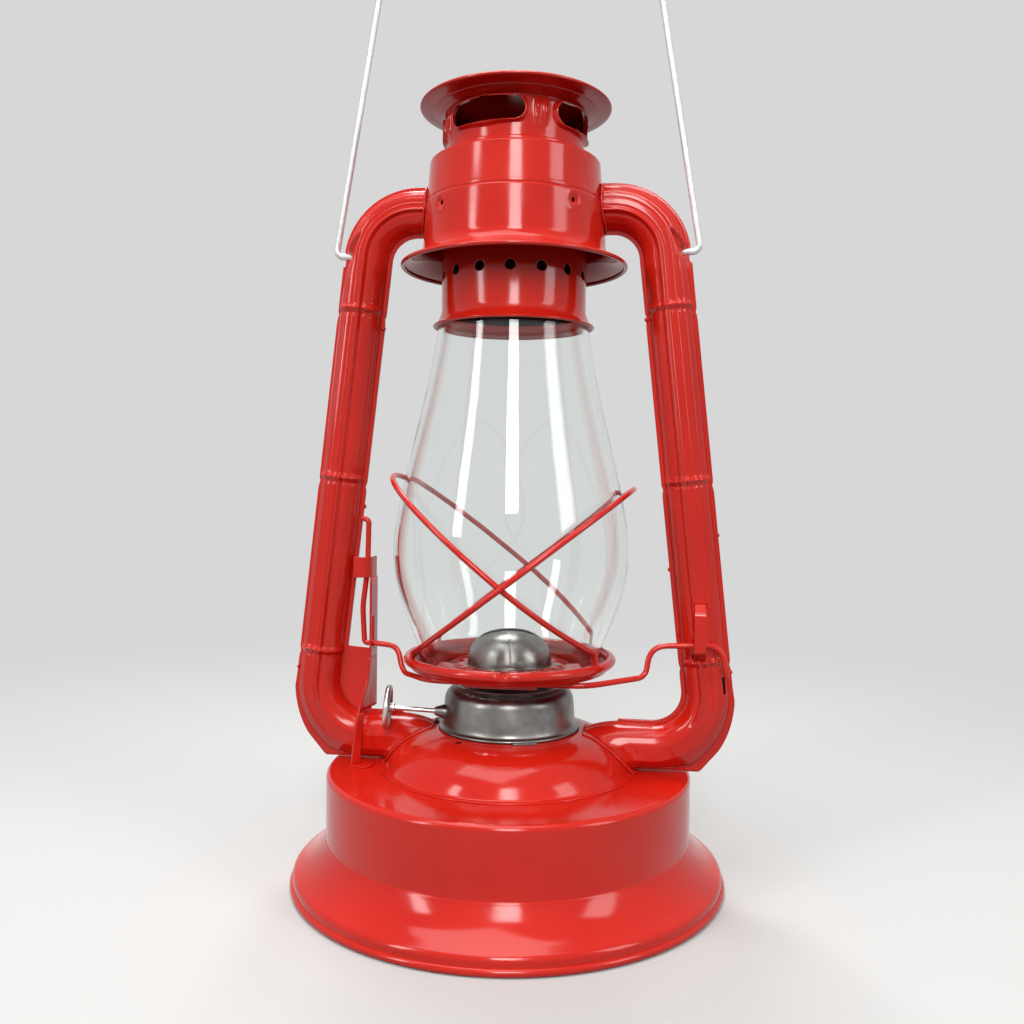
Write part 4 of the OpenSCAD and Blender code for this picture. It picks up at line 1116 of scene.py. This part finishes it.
# The strip's front edge is upright above, and sweeps forward and outward to the leg.
edge_z, edge_x, edge_y = np.array([
    [48.5, 55, 62, 68, 72, 76, 80, 84, 90, 96, 140],
    [-66.7, -66.1, -65.4, -64.8, -64.4, -63.9, -63.1, -62.3, -61.8, -61.4, -61.4],
    [-15.6, -15.5, -15.2, -14.6, -13.2, -10.6, -7.8, -6.2, -5.8, -5.6, -5.6]]) * mm


def strip_rows(z, back_x, back_y, columns=13):
    """A ruled strip: straight lines from its front edge to a back edge at each height."""
    x, y = np.interp(z, edge_z, edge_x), np.interp(z, edge_z, edge_y)
    t = np.linspace(0, 1, columns)
    return np.stack(np.broadcast_arrays(
        x[:, None] + t * (back_x - x)[:, None], y[:, None] + t * (back_y - y)[:, None], z[:, None]), -1)


slot_mid = (slot_low + slot_high) / 2
middle_y = (strip_front + strip_back) / 2
upended = np.roll(stadium(slot_high - slot_low, guide_slot, 72) @ [[0, 1], [-1, 0]], 18, axis=0)
cells = pierced((strip_back - strip_front) / 2, slot_half, upended + [lever[1] - middle_y, 0], 12, 24,
                [0, 0.2, 0.5, 1])
slotted = np.stack([0 * cells[..., 0] + strip_x, middle_y + cells[..., 0], slot_mid + cells[..., 1]], -1)
wide = strip_rows(np.linspace(tab_z, slot_mid + slot_half, 6), strip_x, strip_back)
swept = strip_rows(np.linspace(slot_mid - slot_half, leg_top, 16), strip_x, strip_back)
twisted = strip_rows(np.linspace(leg_top, leg_low, 16), np.linspace(-62.4, -63.6, 16) * mm,
                     np.linspace(-11.2, -12.4, 16) * mm, 6)
guide_grids = [(wide, False), (slotted, True), (swept, False), (twisted, False)]
guide = joined("guide_strip", guide_grids, enamel, guide_t)
fix(guide, "frame", "lift_guide")

tab_x = -run_x(tab_z + tab_h / 2) + tube_out
tab_mid = strip_x + guide_t / 2
tab_path = line(
    [tab_mid, strip_back], arc([tab_mid - tab_bend, tab_y + tab_bend], tab_bend, 0, -90, 10),
    [tab_x, tab_y], [tab_x, -sheet], [tab_x - 1 * mm, -sheet])
web_outline = line(
    [web_x, web_top], [-run_x(web_top) + web_out, web_top + 1 * mm],
    arc(low_c, lower_bend - web_out, math.degrees(tube_tilt), -75, 16) * [-1, 1],
    [web_x, low_c[1] - lower_bend + web_out])
stood = Matrix(((1, 0, 0, 0), (0, 0, -1, 0), (0, 1, 0, 0), (0, 0, 0, 1)))
sole = line(arc([-62, -13.8], 4.6, -90, 90, 12), [-66.5, -9.9], [-67.2, -15.8]) * mm
sole_z = shelf_h + solder_gap
for made in (prism("guide_tab", skin(tab_path, -guide_t)[::-1], tab_z, tab_z + tab_h, enamel),
             prism("guide_web", web_outline[::-1], sheet, sheet + guide_t, enamel, stood),
             prism("guide_foot", sole, sole_z, sole_z + guide_t, enamel)):
    fix(made, "frame")


# Guard wires: two hoops of enamelled wire that cross in front of the globe and behind it. Their ends are
# bent down and soldered into the plate's rim.
hoop_end = 148
foot_turn = 150
foot_out = 44.5 * mm
foot_z = plate_rim_z + rim_bead


def hoop(top, side, slope, middle, across):
    """A hoop at an angle round the globe: its radius goes from the raised bend's to the crossing's and draws
    in towards the feet, and its height rises with X by a slope."""
    a = np.radians(np.linspace(-hoop_end, hoop_end, 180))
    t = np.clip((np.abs(a) - np.pi / 2) / np.radians(hoop_end - 90), 0, 1)
    ease = t * t * (3 - 2 * t)
    r = np.where(np.abs(a) < np.pi / 2, top + (side - top) * np.sin(a) ** 2, side + (foot_out - side) * ease)
    ring = np.stack([-across * r * np.cos(a), -r * np.sin(a), middle + slope * r * np.cos(a)], 1)
    a = np.radians([-foot_turn, foot_turn])
    feet = np.stack([-across * foot_out * np.cos(a), -foot_out * np.sin(a), 0 * a + foot_z], 1)
    return line(feet[:1], ring, feet[1:])


for side, top_r, cross_r, slope, middle, across in (
        ("left", 51.2 * mm, 53.0 * mm, 0.81, 132.5 * mm, 1),
        ("right", 52.7 * mm, 55.5 * mm, 0.765, 128.8 * mm, -1)):
    path = hoop(top_r, cross_r, slope, middle, across)
    guard = wire(f"guard_hoop_{side}", path, wire_r, [across * slope, 0, 1], enamel)
    fix(guard, "carriage", f"guard_wire_{side}")


# Bail: one galvanised wire bent into an arch, whose ends are turned in through the ears pressed on the tubes.
# The zinc is pale and a little spangled.
bail_r = 1.4 * mm
bail_end = np.array([69.14, 269.5]) * mm
turn_c = np.array([75.44, 272.5]) * mm
turn_r = 3 * mm
lean = 9.45
arch_z = 391.65 * mm
arch_r = 57.86 * mm

zinc, shader, place = new_finish("galvanised_wire")
spangle = node(place.id_data, "TexVoronoi", {"Vector": place, "Scale": 700}, "Color")
feed(shader, {
    "Base Color": shades(spangle, (0.2, (0.66, 0.67, 0.67)), (0.8, (0.75, 0.76, 0.75))),
    "Roughness": spread(mottle(place, 300, 3), 0.28, 0.42),
    "Metallic": 0.3,
    "Normal": relief(mottle(place, 900), 0.1, 0.1 * mm)})
bail_half = line(bail_end, arc(turn_c, turn_r, -90, lean, 12), arc([0, arch_z], arch_r, lean, 90, 40))
bail_leg = bail_half @ [[1, 0, 0], [0, 0, 1]]
bail_path = spaced(line(bail_leg, bail_leg[::-1] * [-1, 1, 1]), 3 * mm)
fix(wire("bail_wire", bail_path, bail_r, [0, 1, 0], zinc), "bail", "bail")


# Studio: a plain pale floor that runs into a pale surround, and soft boxes that give long highlights.
# The camera stands where the photograph was taken from.
scene = bpy.context.scene
scene.view_settings.view_transform = "Standard"
backdrop = 0.68
sky_light = 0.17
floor_reach = 6
fade_from, fade_to = 0.14, 0.75
camera_at = (0.0520, -0.4237, 0.1732)
pan, tilt, roll = np.radians([6.959, 88.036, 0.670])
aim = Vector((0, 0, 0.2))


def seen(shown, light):
    """One shader for what the camera, mirrors and glass see, and another for the light on things."""
    tree = shown.id_data
    rays = tree.nodes.new("ShaderNodeLightPath").outputs
    view = rays["Is Camera Ray"]
    for name in ("Is Glossy Ray", "Is Transmission Ray"):
        view = node(tree, "Math", {0: view, 1: rays[name]}, operation="MAXIMUM")
    return node(tree, "MixShader", {0: view, 1: light, 2: shown})


scene.world = bpy.data.worlds.new("surround")
scene.world.use_nodes = True
tree = scene.world.node_tree
sky = node(tree, "Background", {"Color": (1, 1, 1, 1), "Strength": sky_light})
plain = node(tree, "Background", {"Color": (1, 1, 1, 1), "Strength": backdrop})
feed(tree.nodes["World Output"], {"Surface": seen(plain, sky)})

floor_finish, shader, place = new_finish("pale_floor")
feed(shader, {"Base Color": (0.61, 0.61, 0.6, 1), "Roughness": 0.9, "Specular IOR Level": 0})
tree = place.id_data
distance = node(tree, "VectorMath", {0: place}, "Value", operation="LENGTH")
fade = node(tree, "MapRange", {"Value": distance, "From Min": fade_from, "From Max": fade_to}, "Result",
            interpolation_type="SMOOTHSTEP")
glow = node(tree, "Emission", {"Strength": backdrop})
shown = node(tree, "MixShader", {0: fade, 1: shader.outputs[0], 2: glow})
dim = node(tree, "BsdfDiffuse", {"Color": (0.09, 0.09, 0.09, 1)})
feed(tree.nodes["Material Output"], {"Surface": seen(shown, dim)})
floor_corners = floor_reach * np.array([[-1, -1, 0], [1, -1, 0], [1, 1, 0], [-1, 1, 0]])
floor = piece("floor", floor_corners, [[0, 1, 2, 3]], floor_finish)

for name, where, size, power in (
        ("front", (0.25, -1.9, 1.35), (0.5, 1.1), 26),
        ("left", (-1.15, -1.1, 0.8), (0.24, 0.9), 8),
        ("right", (1.5, -0.7, 0.9), (0.5, 1.0), 8),
        ("above", (-0.2, -0.3, 1.7), (1.2, 1.2), 16),
        ("back", (-0.3, 1.1, 2.2), (0.8, 0.8), 26)):
    lamp = bpy.data.lights.new(name, "AREA")
    lamp.shape = "RECTANGLE"
    lamp.size, lamp.size_y = size
    lamp.energy = power
    box = bpy.data.objects.new(name, lamp)
    scene.collection.objects.link(box)
    facing = (aim - Vector(where)).to_track_quat("-Z", "Y").to_matrix().to_4x4()
    box.matrix_world = Matrix.Translation(where) @ facing

camera = bpy.data.cameras.new("camera")
camera.lens = 34.54
camera.sensor_width = 36
camera.clip_start = 0.01
shot = bpy.data.objects.new("camera", camera)
scene.collection.objects.link(shot)
scene.camera = shot
shot.matrix_world = (
    Matrix.Translation(camera_at) @ Matrix.Rotation(pan, 4, "Z")
    @ Matrix.Rotation(tilt, 4, "X") @ Matrix.Rotation(roll, 4, "Z"))
